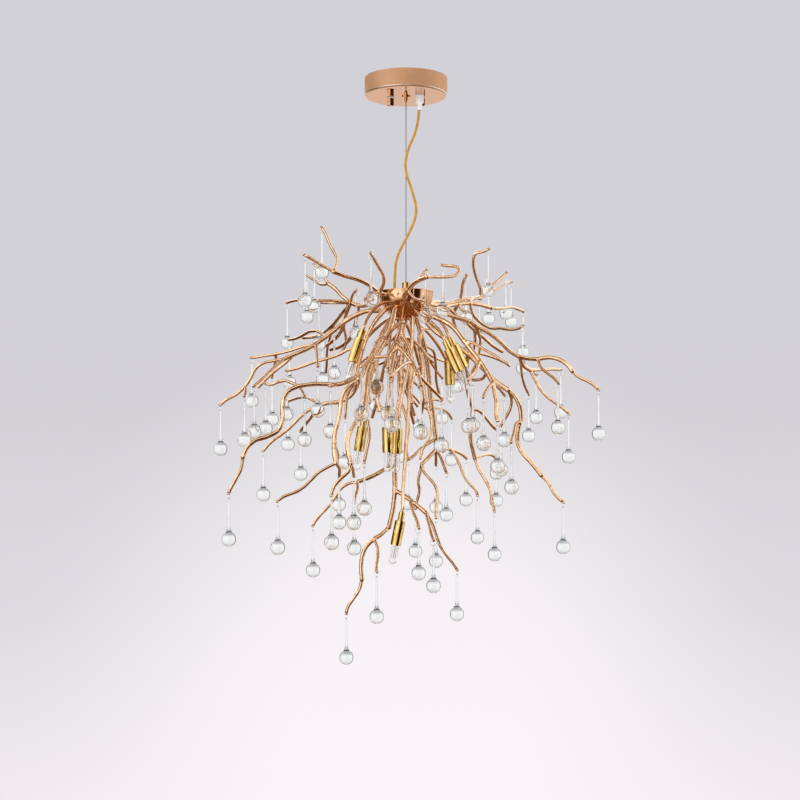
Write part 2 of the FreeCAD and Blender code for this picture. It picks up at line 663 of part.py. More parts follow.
        (0, 2, 0.30, "twig", [(472, 314), (480, 323), (491, 329), (500, 328), (510, 330), (518, 329),
                              (524, 325)]),
        (0, 2, 0.38, "twig", [(474, 299), (480, 296)]),
        (0, 1, 0.16, "twig", [(462, 310), (467, 313)]),
        (0, 0, 0.36, "stub", [(455, 314), (465, 321), (474, 330), (484, 338), (494, 347), (503, 352)]),
        (0, 1, 0.62, "stub", [(452, 316), (456, 329), (465, 341), (474, 352), (481, 364)]),
        (5, 2, 0.34, "spur", [(476, 340), (473, 352), (476, 364)]),
        (6, 3, 0.66, "spur", [(489, 356), (500, 360), (510, 366)]),
    ]),
    "limb_upper_right": ((52, 16), [
        (None, None, 0.46, "stem", [(437, 302), (449, 304), (460, 300), (470, 299), (480, 298)]),
        (0, -1, 0.74, "twig", [(490, 293), (497, 289), (504, 284), (512, 282)]),
        (0, -1, 0.58, "twig", [(489, 289), (496, 282), (502, 277), (507, 272)]),
        (0, -1, 0.34, "twig", [(481, 289), (477, 280), (474, 270), (473, 261), (475, 253), (483, 252),
                               (490, 248)]),
        (0, 2, 0.26, "twig", [(462, 291), (463, 282), (467, 274)]),
        (0, -1, 0.66, "twig", [(485, 289), (489, 278)]),
    ]),
    "limb_top": ((266, 12), [
        (None, None, -0.28, "bough", [(408, 291), (413, 284), (419, 280), (427, 277)]),
        (0, 2, -0.22, "twig", [(423, 274), (427, 269)]),
        (0, -1, -0.10, "twig", [(438, 277), (449, 277), (457, 275), (460, 270), (456, 266), (448, 266),
                                (441, 265)]),
        (0, 0, -0.30, "spur", [(414, 299), (425, 301)]),
    ]),
    "limb_rear": ((100, 18), [
        (None, None, 0.50, "stem", [(398, 314), (400, 332), (396, 352)]),
        (0, -1, 0.70, "twig", [(386, 362), (374, 366)]),
        (0, -1, 0.78, "twig", [(404, 370), (413, 381), (420, 388)]),
        (0, -1, 0.54, "twig", [(398, 368), (399, 392), (400, 418)]),
        (0, 1, 0.62, "twig", [(414, 345), (428, 358), (436, 370), (443, 379)]),
        (0, 0, 0.66, "stub", [(388, 326), (378, 342), (370, 358), (362, 372), (357, 388)]),
        (0, 1, 0.58, "stub", [(392, 348), (384, 366), (381, 384), (377, 402), (372, 418)]),
        (0, 0, 0.62, "stub", [(408, 326), (414, 344), (419, 362), (424, 380), (425, 398), (421, 414)]),
        (0, 1, 0.70, "stub", [(407, 350), (409, 370), (407, 390), (410, 408), (414, 424)]),
        (0, -1, 0.60, "stub", [(392, 370), (390, 390), (386, 408), (387, 424)]),
        (0, 0, 0.72, "stub", [(416, 322), (430, 334), (441, 350), (449, 366), (455, 382)]),
        (0, 0, 0.54, "stub", [(386, 320), (372, 332), (360, 346), (350, 356)]),
        (0, 1, 0.58, "spur", [(388, 344), (374, 352), (362, 362), (350, 370)]),
        (0, 1, 0.66, "spur", [(412, 342), (424, 350), (434, 358), (446, 362)]),
        (8, 2, 0.62, "spur", [(416, 398), (422, 406), (432, 412)]),
        (6, 3, 0.52, "spur", [(384, 410), (391, 418), (395, 428)]),
        (5, 2, 0.60, "spur", [(376, 372), (380, 384), (378, 396)]),
    ]),
    "limb_front": ((262, 50), [
        (None, None, -0.36, "stem", [(400, 332), (396, 345), (389, 356)]),
        (0, -1, -0.48, "twig", [(388, 362), (388, 368)]),
        (0, 1, -0.52, "bough", [(404, 352), (412, 362), (418, 374)]),
        (2, -1, -0.58, "twig", [(420, 380), (421, 386)]),
        (2, 1, -0.66, "twig", [(404, 364), (397, 370), (391, 377)]),
        (2, -1, -0.44, "twig", [(427, 384), (436, 393), (443, 400)]),
        (0, 0, -0.44, "spur", [(400, 343), (394, 353), (385, 357), (375, 357)]),
        (0, 0, -0.38, "stub", [(408, 344), (413, 358), (414, 374), (410, 390), (412, 404)]),
    ]),
}

# Every lamp: the heading and dip of its arm's root, its depth as a share, the pixels that the arm passes, the
# last one at the top of the lampholder, and how far the lamp's axis leans from straight down: aside and forward
lamp_depth_shares = {
    "upper_left": ((202, 24), -0.20, [(372, 311), (366, 320), (363, 330)], (-18, 0)),
    "upper_right": ((298, 44), -0.24, [(430, 321), (440, 331), (445, 341)], (24, 0)),
    "right": ((18, 50), -0.02, [(434, 325), (444, 336), (449, 352)], (2, 0)),
    "right_rear": ((335, 34), -0.11, [(438, 318), (445, 327), (450, 338)], (25, 0)),
    "middle_front": ((270, 76), -0.34, [(396, 345), (391, 370), (388, 395), (387, 418)], (1, 0)),
    "middle": ((300, 62), -0.20, [(412, 345), (408, 370), (402, 395), (398, 420)], (-3, 0)),
    "left": ((235, 72), -0.20, [(384, 338), (376, 358), (370, 380), (367, 400), (364, 418)], (-9, 0)),
    "bottom": ((40, 76), -0.22, [(412, 345), (411, 372), (409, 402), (407, 432), (405, 462), (403, 490),
                                 (402, 512)], (-11, 0)),
}


def root_direction(heading, dip):
    """The way out of the hub at a heading round it and a dip below level, in degrees."""
    round_it = math.radians(heading)
    below = math.radians(dip)
    level = math.cos(below)
    return Vector(level * math.cos(round_it), level * math.sin(round_it), -math.sin(below))


def root_points(direction):
    """The straight start of a branch: its spigot in the hub's wall and a short lead outside."""
    inner = hub_centre + direction * (hub_radius - hub_wall - spigot_tail)
    outer = hub_centre + direction * (hub_radius + socket_lead)
    return [inner, outer]


def lay_limb(root, branches):
    """Every branch of a limb as its points, radius, corner points and whether it ends in a tip."""
    laid = []
    continued = {parent for parent, joint, share, thickness, traced in branches if joint == -1}
    for number, (parent, joint, share, thickness, traced) in enumerate(branches):
        if parent is None:
            lead = root_points(root_direction(*root))
        else:
            first = 2 if branches[parent][0] is None else 1
            corner = laid[parent]["corners"]
            lead = [corner[joint] if joint < 0 else corner[joint + first]]
        points = lead + traced_points(lead[-1], traced, share * half_spread)
        corners = rounded_path(points)[2]
        laid.append({"points": points, "radius": branch_radius[thickness], "corners": corners,
                     "tip": number not in continued and thickness not in bare_kinds})
    return laid


def lay_lamp(root, share, traced, lean):
    """A lamp arm's points, which end in a straight lead, and the top and axis of its lampholder."""
    lead = root_points(root_direction(*root))
    points = lead + traced_points(lead[-1], traced, share * half_spread)
    aside = math.radians(lean[0])
    forward = math.radians(lean[1])
    axis = Vector(math.sin(aside), -math.sin(forward), -math.cos(aside) * math.cos(forward))
    axis.normalize()
    top = points[-1]
    return points[:-1] + [top - axis * arm_lead, top], top, axis


def hang(branch):
    """Where a tip's drop hangs: the hole's middle, the way across the tip, and the tip's direction."""
    end = branch["points"][-1]
    direction = end - branch["points"][-2]
    direction.normalize()
    across = direction.cross(up)
    across.normalize()
    return end - direction * hole_setback, across, direction


def knuckle(laid, start):
    """The ball at a fork, a little thicker than what meets there. Its poles lie along the branch that
    arrives, and its seam lies on the side away from the branches that leave."""
    thickest = 0
    leaving = Vector(0, 0, 0)
    for branch in laid:
        gaps = [start.distanceToPoint(corner) for corner in branch["corners"]]
        if min(gaps) > fit:
            continue
        thickest = max(thickest, branch["radius"])
        nearest = gaps.index(min(gaps))
        points = branch["points"]
        if nearest > 0:
            along = points[nearest] - points[nearest - 1]
            along.normalize()
        else:
            ahead = points[1] - points[0]
            ahead.normalize()
            leaving += ahead
    away = along * leaving.dot(along) - leaving
    if away.Length < math.sin(least_turn):
        away = along.cross(up)
    ball = Part.makeSphere(thickest * knuckle_share)
    ball.Placement = FreeCAD.Placement(start, FreeCAD.Rotation(away, Vector(0, 0, 0), along, "ZXY"))
    return ball


def branch_solid(laid):
    """One cast limb: rods, a knuckle where each branch grows, and a cross hole in each tip."""
    rods = []
    for branch in laid:
        rods.append(tube(branch["points"], branch["radius"]))
    forks = []
    knuckles = []
    for branch in laid[1:]:
        start = branch["points"][0]
        if any(start.distanceToPoint(fork) < fit for fork in forks):
            continue
        forks.append(start)
        knuckles.append(knuckle(laid, start))
    solid = rods[0].fuse(rods[1:] + knuckles)
    holes = []
    for branch in laid:
        if branch["tip"]:
            middle, across, direction = hang(branch)
            foot = middle - across * (2 * branch["radius"])
            holes.append(rod(hole_radius, 4 * branch["radius"], foot, across))
    return solid.cut(holes)


def glass_drop():
    """One clear drop with its loop, hung at the origin with the loop's wire across X there."""
    sag = loop_radius - math.sqrt(loop_radius ** 2 - (twig_diameter / 2) ** 2)
    loop_middle = sag / 2 - loop_radius
    ring = Part.makeTorus(loop_radius, loop_wire, Vector(0, 0, loop_middle), Vector(0, 1, 0))
    neck_top = loop_middle - loop_radius
    ball_middle = -ball_drop
    collar_height = ball_middle + math.sqrt(ball_radius ** 2 - neck_collar_radius ** 2)
    neck_length_below = neck_top - collar_height
    outline = [
        (0, neck_top), (neck_top_radius, neck_top),
        (neck_radius, neck_top - neck_length_below * neck_flare_share),
        (neck_radius, neck_top - neck_length_below * neck_straight_share),
        (neck_low_radius, collar_height + 3 * neck_collar_height),
        (neck_collar_radius, collar_height + neck_collar_height), (neck_collar_radius, collar_height),
        (0, ball_middle),
    ]
    neck = turned(outline, Vector(0, 0, 0), up)
    ball = Part.makeSphere(ball_radius, Vector(0, 0, ball_middle))
    return ball.fuse([neck, ring])


def hung_drop(drop, middle, across):
    """A copy of the drop at a tip's hole, turned to the hole's direction."""
    copy = drop.copy()
    copy.Placement = FreeCAD.Placement(middle, FreeCAD.Rotation(Vector(1, 0, 0), across))
    return copy


def lamp_parts(lamps):
    """The lampholders' turned sleeves, their ceramic sockets and their bulbs, eight of each."""
    arms = []
    sleeves = []
    sockets = []
    bulbs = []
    neck_end = neck_length
    mouth = neck_length + sleeve_length
    socket_top = neck_length + sleeve_wall + fit
    socket_end = socket_top + socket_length
    half_base = bulb_base_thickness / 2
    for points, top, axis in lamps:
        arms.append(lamp_arm(points, top, axis))
        outline = [
            (branch_radius["arm"] + fit, 0), (neck_outer_radius, 0), (neck_outer_radius, neck_end),
            (sleeve_radius, neck_end), (sleeve_radius, mouth), (sleeve_radius - sleeve_wall, mouth),
            (sleeve_radius - sleeve_wall, neck_end + sleeve_wall),
            (branch_radius["arm"] + fit, neck_end + sleeve_wall),
        ]
        sleeves.append(turned(outline, top, axis))
        frame = FreeCAD.Placement(top, FreeCAD.Rotation(up, axis))
        body = rod(socket_radius, socket_length, Vector(0, 0, socket_top), up)
        slot_low = Vector(-bulb_base_width / 2 - slide_fit, -half_base - slide_fit,
                          socket_end - bulb_base_depth)
        slot = Part.makeBox(bulb_base_width + 2 * slide_fit, bulb_base_thickness + 2 * slide_fit,
                            bulb_base_depth + overrun, slot_low)
        body = body.cut(slot)
        body.Placement = frame
        sockets.append(body)
        glass_start = socket_end + fit
        glass_end = mouth + bulb_length
        outline = [
            (0, glass_start), (half_base, glass_start), (bulb_radius, glass_start + bulb_pinch),
            (bulb_radius, glass_end - bulb_radius / 2), (bulb_radius / 2, glass_end), (0, glass_end),
        ]
        glass = turned(outline, Vector(0, 0, 0), up)
        base = Part.makeBox(bulb_base_width, bulb_base_thickness, bulb_base_depth - slide_fit + bulb_pinch / 2,
                            Vector(-bulb_base_width / 2, -half_base, socket_end - bulb_base_depth + slide_fit))
        bulb = glass.fuse(base)
        bulb.Placement = frame
        bulbs.append(bulb)
    save("lamp_arms", Part.makeCompound(arms))
    save("lamp_sleeves", Part.makeCompound(sleeves))
    save("lamp_sockets", Part.makeCompound(sockets))
    save("lamp_bulbs", Part.makeCompound(bulbs))


def lamp_arm(points, top, axis):
    """A lamp's curved arm, which goes straight down into the neck of its lampholder."""
    return tube(points + [top + axis * neck_length], branch_radius["arm"])


# Drops that swing by themselves: the limb and the branch that carries each
swinging_drops = [
    ("drop_upper_left", "limb_upper_left", 2),
    ("drop_left_high", "limb_left", 2),
    ("drop_far_left", "limb_left", 5),
    ("drop_left_low", "limb_lower_left", 4),
    ("drop_left_inner", "limb_lower_left", 7),
    ("drop_left_bottom", "limb_inner_left", 2),
    ("drop_bottom_left", "limb_centre", 11),
    ("drop_lowest", "limb_centre", 4),
    ("drop_bottom_middle", "limb_centre", 5),
    ("drop_bottom_right", "limb_centre", 7),
    ("drop_bottom_inner", "limb_centre", 9),
    ("drop_right_inner", "limb_inner_right", 7),
    ("drop_right_bottom", "limb_lower_right", 9),
    ("drop_right_low", "limb_lower_right", 3),
    ("drop_far_right", "limb_right", 2),
    ("drop_right_front", "limb_right", 3),
    ("drop_right_high", "limb_right", 6),
]
# The other drops, by the limbs that carry them
drop_groups = {
    "drops_left": ["limb_upper_left", "limb_left_rear", "limb_left", "limb_lower_left"],
    "drops_front": ["limb_inner_left", "limb_front_left", "limb_front"],
    "drops_middle": ["limb_centre", "limb_inner_right", "limb_rear", "limb_top"],
    "drops_right": ["limb_right_front", "limb_lower_right", "limb_right", "limb_right_rear",
                    "limb_upper_right"],
}


def drop_parts(limbs):
    """The glass drops, each in its tip's hole."""
    drop = glass_drop()
    single = {(limb, number): name for name, limb, number in swinging_drops}
    grouped = {group: [] for group in drop_groups}
    group_of = {limb: group for group, names in drop_groups.items() for limb in names}
    for limb, laid in limbs.items():
        for number, branch in enumerate(laid):
            if not branch["tip"]:
                continue
            middle, across, direction = hang(branch)
            hung = hung_drop(drop, middle, across)
            name = single.get((limb, number))
            if name:
                save(name, hung)
                print(name, "pivot", [round(value, 3) for value in middle],
                      "axis", [round(value, 5) for value in across])
            else:
                grouped[group_of[limb]].append(hung)
    for group, solids in grouped.items():
        save(group, Part.makeCompound(solids))


os.makedirs("parts", exist_ok=True)
limbs = {name: lay_limb(root, branches) for name, (root, branches) in limb_depth_shares.items()}
lamps = [lay_lamp(*values) for values in lamp_depth_shares.values()]
roots = [(root_direction(*root), laid[0]["radius"])
         for (root, branches), laid in zip(limb_depth_shares.values(), limbs.values())]
roots += [(root_direction(*values[0]), branch_radius["arm"]) for values in lamp_depth_shares.values()]
canopy_parts()
gripper_parts()
cord_entry_parts()
cord_parts()
hub_parts(roots)
lamp_parts(lamps)
for name, laid in limbs.items():
    save(name, branch_solid(laid))
drop_parts(limbs)
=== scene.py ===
import json
import math

import bpy
import numpy as np
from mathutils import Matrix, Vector

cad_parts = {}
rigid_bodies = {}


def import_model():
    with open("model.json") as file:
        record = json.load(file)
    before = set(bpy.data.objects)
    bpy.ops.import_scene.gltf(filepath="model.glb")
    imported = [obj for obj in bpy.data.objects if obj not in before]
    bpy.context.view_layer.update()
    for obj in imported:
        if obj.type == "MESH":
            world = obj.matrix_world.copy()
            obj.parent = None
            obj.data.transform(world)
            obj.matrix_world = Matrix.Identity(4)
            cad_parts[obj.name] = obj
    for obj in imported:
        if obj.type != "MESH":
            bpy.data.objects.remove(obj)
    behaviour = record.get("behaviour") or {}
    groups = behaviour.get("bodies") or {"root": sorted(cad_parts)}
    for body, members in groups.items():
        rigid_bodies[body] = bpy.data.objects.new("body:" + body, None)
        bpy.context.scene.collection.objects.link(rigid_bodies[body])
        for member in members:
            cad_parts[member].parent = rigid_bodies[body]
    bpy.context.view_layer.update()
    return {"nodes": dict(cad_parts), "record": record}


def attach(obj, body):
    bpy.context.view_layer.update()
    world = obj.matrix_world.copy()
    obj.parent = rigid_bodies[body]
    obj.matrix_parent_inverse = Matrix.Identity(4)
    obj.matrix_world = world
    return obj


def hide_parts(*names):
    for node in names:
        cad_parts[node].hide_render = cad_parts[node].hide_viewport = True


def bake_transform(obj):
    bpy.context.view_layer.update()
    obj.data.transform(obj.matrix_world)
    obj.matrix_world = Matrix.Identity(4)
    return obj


for leftover in list(bpy.data.objects):
    bpy.data.objects.remove(leftover)
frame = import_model()

# The camera
# It stands level with the middle of the branches, a little over two metres in front of the rope.
# The lens axis passes just right of the picture's middle and below it.
picture_pixels = 800
axis_pixel_x = 406
axis_pixel_y = 450
focal_pixels = 1367
eye = (0, -2.050, -0.5565)
sensor_mm = 36
camera_data = bpy.data.cameras.new("camera")
camera_data.sensor_width = sensor_mm
camera_data.lens = sensor_mm * focal_pixels / picture_pixels
camera_data.shift_x = 0.5 - axis_pixel_x / picture_pixels
camera_data.shift_y = axis_pixel_y / picture_pixels - 0.5
camera_data.clip_end = 30
camera = bpy.data.objects.new("camera", camera_data)
bpy.context.scene.collection.objects.link(camera)
camera.location = eye
camera.rotation_euler = (math.radians(90), 0, 0)
bpy.context.scene.camera = camera
bpy.context.scene.view_settings.view_transform = "Standard"

# The room
# A pale studio, greyer above and whiter below, with a soft glow behind the branches. Polished metal sees a darker
# furnished room in its place, and glass sees a calm pale one with three dim gaps round it.
sky_tones = [(0, "F3EEF2"), (0.28, "DDDBDF"), (0.55, "D4D2D6"), (1, "D2D1D8")]
sky_reach = 0.26
glow_colour = "FCF7FB"
glow_towards = (0, 0.984, -0.18)
glow_share = 0.80
glow_core = 0.066
glow_reach = 0.293
soft_light_colour = "FBF9FA"
# The walls that metal sees, by bearing in degrees, 0 behind the branches and 90 on their right: a bright window at
# the front left and one on the right, a dark corner on the left and a black gap at the front right.
walls_by_bearing = [(-180, 1.00), (-165, 1.05), (-156, 1.75), (-118, 1.75), (-108, 0.90), (-98, 0.09),
                    (-48, 0.09), (-34, 0.90), (32, 0.95), (70, 0.90), (84, 1.40), (106, 1.40), (114, 0.90),
                    (120, 0.03), (170, 0.03), (175, 1.00), (180, 1.00)]
# The same room by height, 0 straight down and 1 straight up: walls, a row of lights over them and a brown floor.
walls_by_height = [(0, 0), (0.20, 0.03), (0.34, 0.90), (0.50, 0.98), (0.66, 0.62), (0.74, 0)]
lights_by_height = [(0.62, 0), (0.69, 1.45), (0.83, 1.45), (0.90, 0.60), (1, 0.45)]
floor_by_height = [(0, 1.00), (0.10, 0.90), (0.22, 0.38), (0.36, 0.08), (0.42, 0)]
floor_brown = "8E5E34"
# Its green and blue are these powers of its level, so what is dark is warm and what is bright is cool.
green_power = 1.25
blue_power = 1.5
# The room that glass sees, by height, and its gaps: where the cosine of three times the bearing is near -1.
glass_by_height = [(0, 0.36), (0.22, 0.47), (0.36, 0.91), (0.50, 0.90), (0.66, 0.88), (0.80, 0.66), (1, 0.58)]
glass_gap_count = 3
glass_gap_edge = -0.72
glass_gap_core = -0.95
glass_gap_level = 0.22


def linear(shade):
    """A colour written as sRGB hex, as linear red, green, blue and one: each channel's sRGB curve undone."""
    channels = [int(shade[place:place + 2], 16) / 255 for place in (0, 2, 4)]
    return tuple([c / 12.92 if c <= 0.04045 else ((c + 0.055) / 1.055) ** 2.4 for c in channels] + [1])


def add(tree, kind, settings=None, links=None):
    """Adds one node: settings go to its own values or, by name or number, to its inputs, and links feed inputs.
    A colour ramp's setting is its stops: places with a hex colour, a linear colour or a grey level."""
    node = tree.nodes.new("ShaderNode" + kind)
    for name, value in (settings or {}).items():
        if name == "stops":
            elements = node.color_ramp.elements
            while len(elements) < len(value):
                elements.new(0.5)
            for element, (place, colour) in zip(elements, value):
                if isinstance(colour, str):
                    colour = linear(colour)
                element.position = place
                element.color = colour if isinstance(colour, tuple) else (colour, colour, colour, 1)
        elif isinstance(name, str) and name in node.bl_rna.properties:
            setattr(node, name, value)
        else:
            node.inputs[name].default_value = value
    for name, source in (links or {}).items():
        tree.links.new(source, node.inputs[name])
    return node


world = bpy.data.worlds.new("studio")
bpy.context.scene.world = world
world.use_nodes = True
sky = world.node_tree
sky.nodes.clear()
outlook = add(sky, "TexCoord").outputs["Generated"]
direction = add(sky, "SeparateXYZ", links={0: outlook})
height = direction.outputs["Z"]
near_level = add(sky, "MapRange", {"From Min": -sky_reach, "From Max": sky_reach}, {"Value": height})
shaded_sky = add(sky, "ValToRGB", {"stops": sky_tones}, {0: near_level.outputs[0]})
off_glow = add(sky, "VectorMath", {"operation": "DISTANCE", 1: glow_towards}, {0: outlook})
glow = add(sky, "MapRange", {"interpolation_type": "SMOOTHSTEP", "From Min": glow_core, "From Max": glow_reach,
                             "To Min": glow_share, "To Max": 0.0}, {"Value": off_glow.outputs["Value"]})
glowing_sky = add(sky, "Mix", {"data_type": "RGBA", 7: linear(glow_colour)},
                  {0: glow.outputs[0], 6: shaded_sky.outputs[0]})

bearing = add(sky, "Math", {"operation": "ARCTAN2"}, {0: direction.outputs["X"], 1: direction.outputs["Y"]})
whole_turn = add(sky, "MapRange", {"From Min": -math.pi, "From Max": math.pi}, {"Value": bearing.outputs[0]})
upright = add(sky, "MapRange", {"From Min": -1, "From Max": 1}, {"Value": height}).outputs[0]
bearing_stops = [((degrees + 180) / 360, level) for degrees, level in walls_by_bearing]
brown_stops = [(place, tuple(level * channel for channel in linear(floor_brown)[:3]) + (1,))
               for place, level in floor_by_height]
walls_round = add(sky, "ValToRGB", {"stops": bearing_stops}, {0: whole_turn.outputs[0]})
walls_up = add(sky, "ValToRGB", {"stops": walls_by_height}, {0: upright})
lights_up = add(sky, "ValToRGB", {"stops": lights_by_height}, {0: upright})
floor_up = add(sky, "ValToRGB", {"stops": brown_stops}, {0: upright})
walls = add(sky, "Math", {"operation": "MULTIPLY"}, {0: walls_up.outputs[0], 1: walls_round.outputs[0]})
level = add(sky, "Math", {"operation": "ADD"}, {0: walls.outputs[0], 1: lights_up.outputs[0]}).outputs[0]
green = add(sky, "Math", {"operation": "POWER", 1: green_power}, {0: level})
blue = add(sky, "Math", {"operation": "POWER", 1: blue_power}, {0: level})
tinted = add(sky, "CombineXYZ", links={0: level, 1: green.outputs[0], 2: blue.outputs[0]})
metal_room = add(sky, "VectorMath", {"operation": "ADD"}, {0: tinted.outputs[0], 1: floor_up.outputs[0]})

turns = add(sky, "Math", {"operation": "MULTIPLY", 1: glass_gap_count}, {0: bearing.outputs[0]})
wave = add(sky, "Math", {"operation": "COSINE"}, {0: turns.outputs[0]})
gaps = add(sky, "MapRange", {"interpolation_type": "SMOOTHSTEP", "From Min": glass_gap_edge,
                             "From Max": glass_gap_core, "To Min": 1.0, "To Max": glass_gap_level},
           {"Value": wave.outputs[0]})
glass_up = add(sky, "ValToRGB", {"stops": glass_by_height}, {0: upright})
glass_room = add(sky, "Math", {"operation": "MULTIPLY"}, {0: glass_up.outputs[0], 1: gaps.outputs[0]})

path_kind = add(sky, "LightPath")
soft_light = add(sky, "Background", {"Color": linear(soft_light_colour)})
for_metal = add(sky, "Background", links={"Color": metal_room.outputs[0]})
for_glass = add(sky, "Background", links={"Color": glass_room.outputs[0]})
backdrop = add(sky, "Background", links={"Color": glowing_sky.outputs[2]})
shiny = add(sky, "MixShader", links={0: path_kind.outputs["Is Glossy Ray"], 1: soft_light.outputs[0],
                                     2: for_metal.outputs[0]})
lit = add(sky, "MixShader", links={0: path_kind.outputs["Is Transmission Ray"], 1: shiny.outputs[0],
                                   2: for_glass.outputs[0]})
shown = add(sky, "MixShader", links={0: path_kind.outputs["Is Camera Ray"], 1: lit.outputs[0],
                                     2: backdrop.outputs[0]})
add(sky, "OutputWorld", links={"Surface": shown.outputs[0]})

# The floor
# A pale matt floor lies a storey below the ceiling, and it fades out towards its edge. It sends light up, but
# metal and glass see the floor of their own rooms instead.
floor_height = -2.6
floor_half_width = 3.4
floor_paint_colour = "F4EFF3"
floor_fade_start = 1.2
floor_fade_end = 3.3
corners = np.array([(-1, -1, 0), (1, -1, 0), (1, 1, 0), (-1, 1, 0)]) * floor_half_width + (0, 0, floor_height)
floor_mesh = bpy.data.meshes.new("floor")
floor_mesh.from_pydata(corners.tolist(), [], [(0, 1, 2, 3)])
floor = bpy.data.objects.new("floor", floor_mesh)
bpy.context.scene.collection.objects.link(floor)
floor.visible_glossy = False
floor.visible_transmission = False


def new_material(name):
    """A material with an empty tree, and the object's own place as its first node's output."""
    material = bpy.data.materials.new(name)
    material.use_nodes = True
    tree = material.node_tree
    tree.nodes.clear()
    return material, tree, add(tree, "TexCoord").outputs["Object"]


matt, tree, place = new_material("matt_floor_paint")
flat_place = add(tree, "Mapping", {"Location": (0, 0, -floor_height)}, {"Vector": place})
away = add(tree, "VectorMath", {"operation": "LENGTH"}, {0: flat_place.outputs[0]})
edge = add(tree, "MapRange", {"interpolation_type": "SMOOTHSTEP", "From Min": floor_fade_start,
                              "From Max": floor_fade_end}, {"Value": away.outputs["Value"]})
paint = add(tree, "BsdfDiffuse", {"Color": linear(floor_paint_colour)})
nothing = add(tree, "BsdfTransparent")
faded = add(tree, "MixShader", links={0: edge.outputs[0], 1: paint.outputs[0], 2: nothing.outputs[0]})
add(tree, "OutputMaterial", links={"Surface": faded.outputs[0]})
floor_mesh.materials.append(matt)

# The lamps of the studio
# Two wide soft lamps stand in front, one at each side, and one hangs above. Neither the views nor the metal
# show them. Each row is a lamp's place, its width and its watts.
soft_lamps = {
    "left_window": ((-1.9, -1.7, 0.35), 1.3, 22),
    "right_window": ((2.1, -1.3, -0.2), 1.0, 10),
    "roof_window": ((0.3, -0.2, 1.9), 1.4, 18),
}
lamps_face = Vector((0, 0, -0.45))
for name, (spot, width, watts) in soft_lamps.items():
    lamp_data = bpy.data.lights.new(name, "AREA")
    lamp_data.shape = "RECTANGLE"
    lamp_data.size = width
    lamp_data.size_y = width
    lamp_data.energy = watts
    lamp = bpy.data.objects.new(name, lamp_data)
    bpy.context.scene.collection.objects.link(lamp)
    lamp.location = spot
    lamp.rotation_euler = (lamps_face - Vector(spot)).to_track_quat("-Z", "Y").to_euler()
    lamp.visible_camera = False
    lamp.visible_glossy = False

# The ceiling bracket, its studs and the nuts inside
# A steel strap is screwed to the ceiling, and two studs hang from it. They are pressed and turned steel
# with a zinc plating, so they are bright bluish grey with a faint spangle.
zinc_tones = [(0.1, "C3C6CB"), (0.8, "A4A8AE")]
zinc_roughness = (0.28, 0.45)
spangle_mm = 3.0


def pieces_per_metre(size_mm):
    """A noise scale: how many features of that size in millimetres fit in a metre."""
    return 1000 / size_mm


def lay_surface(tree, settings, links):
    """Ends a material's tree with its shader, which has these values of its own and these linked ones."""
    shader = add(tree, "BsdfPrincipled", settings, links)
    add(tree, "OutputMaterial", links={"Surface": shader.outputs[0]})


def dress(names, material):
    """Gives CAD pieces that stay as they are their material."""
    for name in names:
        mesh = frame["nodes"][name].data
        mesh.materials.clear()
        mesh.materials.append(material)


zinc, tree, place = new_material("zinc_plated_steel")
spangle = add(tree, "TexVoronoi", {"feature": "F1", "Scale": pieces_per_metre(spangle_mm)},
              {"Vector": place}).outputs["Distance"]
rough = add(tree, "MapRange", {"To Min": zinc_roughness[0], "To Max": zinc_roughness[1]}, {"Value": spangle})
tone = add(tree, "ValToRGB", {"stops": zinc_tones}, {0: spangle})
lay_surface(tree, {"Metallic": 1.0}, {"Base Color": tone.outputs[0], "Roughness": rough.outputs[0]})
dress(["ceiling_bracket", "bracket_studs", "gripper_lock_nut", "rope_collar_nut"], zinc)

# The canopy
# The canopy is a spun steel cup that is plated rose gold. Its wall is brushed to a soft satin with faint turning
# marks, its rounded edge is buffed and painted pale as a highlight, and its underside is polished like a mirror.
canopy_tones = [(0.35, "D8A87F"), (0.65, "DDB08A")]
canopy_cloud_mm = 30
turning_mark_mm = 0.8
turning_stretch = (0.15, 0.15, 1)
turning_mark_strength = 0.05
turning_mark_depth = 0.0002
wall_roughness = (0.66, 0.78)
underside_colour = "DFA67A"
underside_roughness = 0.05
# The rounded edge's pale cream colour is a painted highlight; only its lower roughness is the buffing.
edge_highlight_colour = "FBEBD8"
edge_roughness = 0.42
wall_foot = -0.0252
wall_fade = 0.0008
edge_top = -0.0241
edge_foot = -0.0261
edge_fade = 0.0004


def drift(tree, place, size_mm, tones, detail=2.0):
    """A cloudy pattern whose clouds have that size in millimetres, and a tone that follows it between colours."""
    clouds = add(tree, "TexNoise", {"Scale": pieces_per_metre(size_mm), "Detail": detail}, {"Vector": place})
    tone = add(tree, "ValToRGB", {"stops": tones}, {0: clouds.outputs["Fac"]})
    return clouds.outputs["Fac"], tone.outputs[0]


canopy_gloss, tree, place = new_material("satin_rose_gold_plate")
stretched = add(tree, "Mapping", {"Scale": turning_stretch}, {"Vector": place})
marks = add(tree, "TexNoise", {"Scale": pieces_per_metre(turning_mark_mm), "Detail": 3.0},
            {"Vector": stretched.outputs[0]}).outputs["Fac"]
satin = add(tree, "MapRange", {"To Min": wall_roughness[0], "To Max": wall_roughness[1]}, {"Value": marks})
up_here = add(tree, "SeparateXYZ", links={0: place}).outputs["Z"]
on_wall = add(tree, "MapRange", {"From Min": wall_foot - wall_fade, "From Max": wall_foot},
              {"Value": up_here}).outputs[0]
above_edge = add(tree, "MapRange", {"From Min": edge_top - edge_fade, "From Max": edge_top}, {"Value": up_here})
below_edge = add(tree, "MapRange", {"From Min": edge_foot, "From Max": edge_foot - edge_fade}, {"Value": up_here})
off_edge = add(tree, "Math", {"operation": "ADD"},
               {0: above_edge.outputs[0], 1: below_edge.outputs[0]}).outputs[0]
plate = add(tree, "Mix", {"data_type": "RGBA", 6: linear(underside_colour)},
            {0: on_wall, 7: drift(tree, place, canopy_cloud_mm, canopy_tones)[1]})
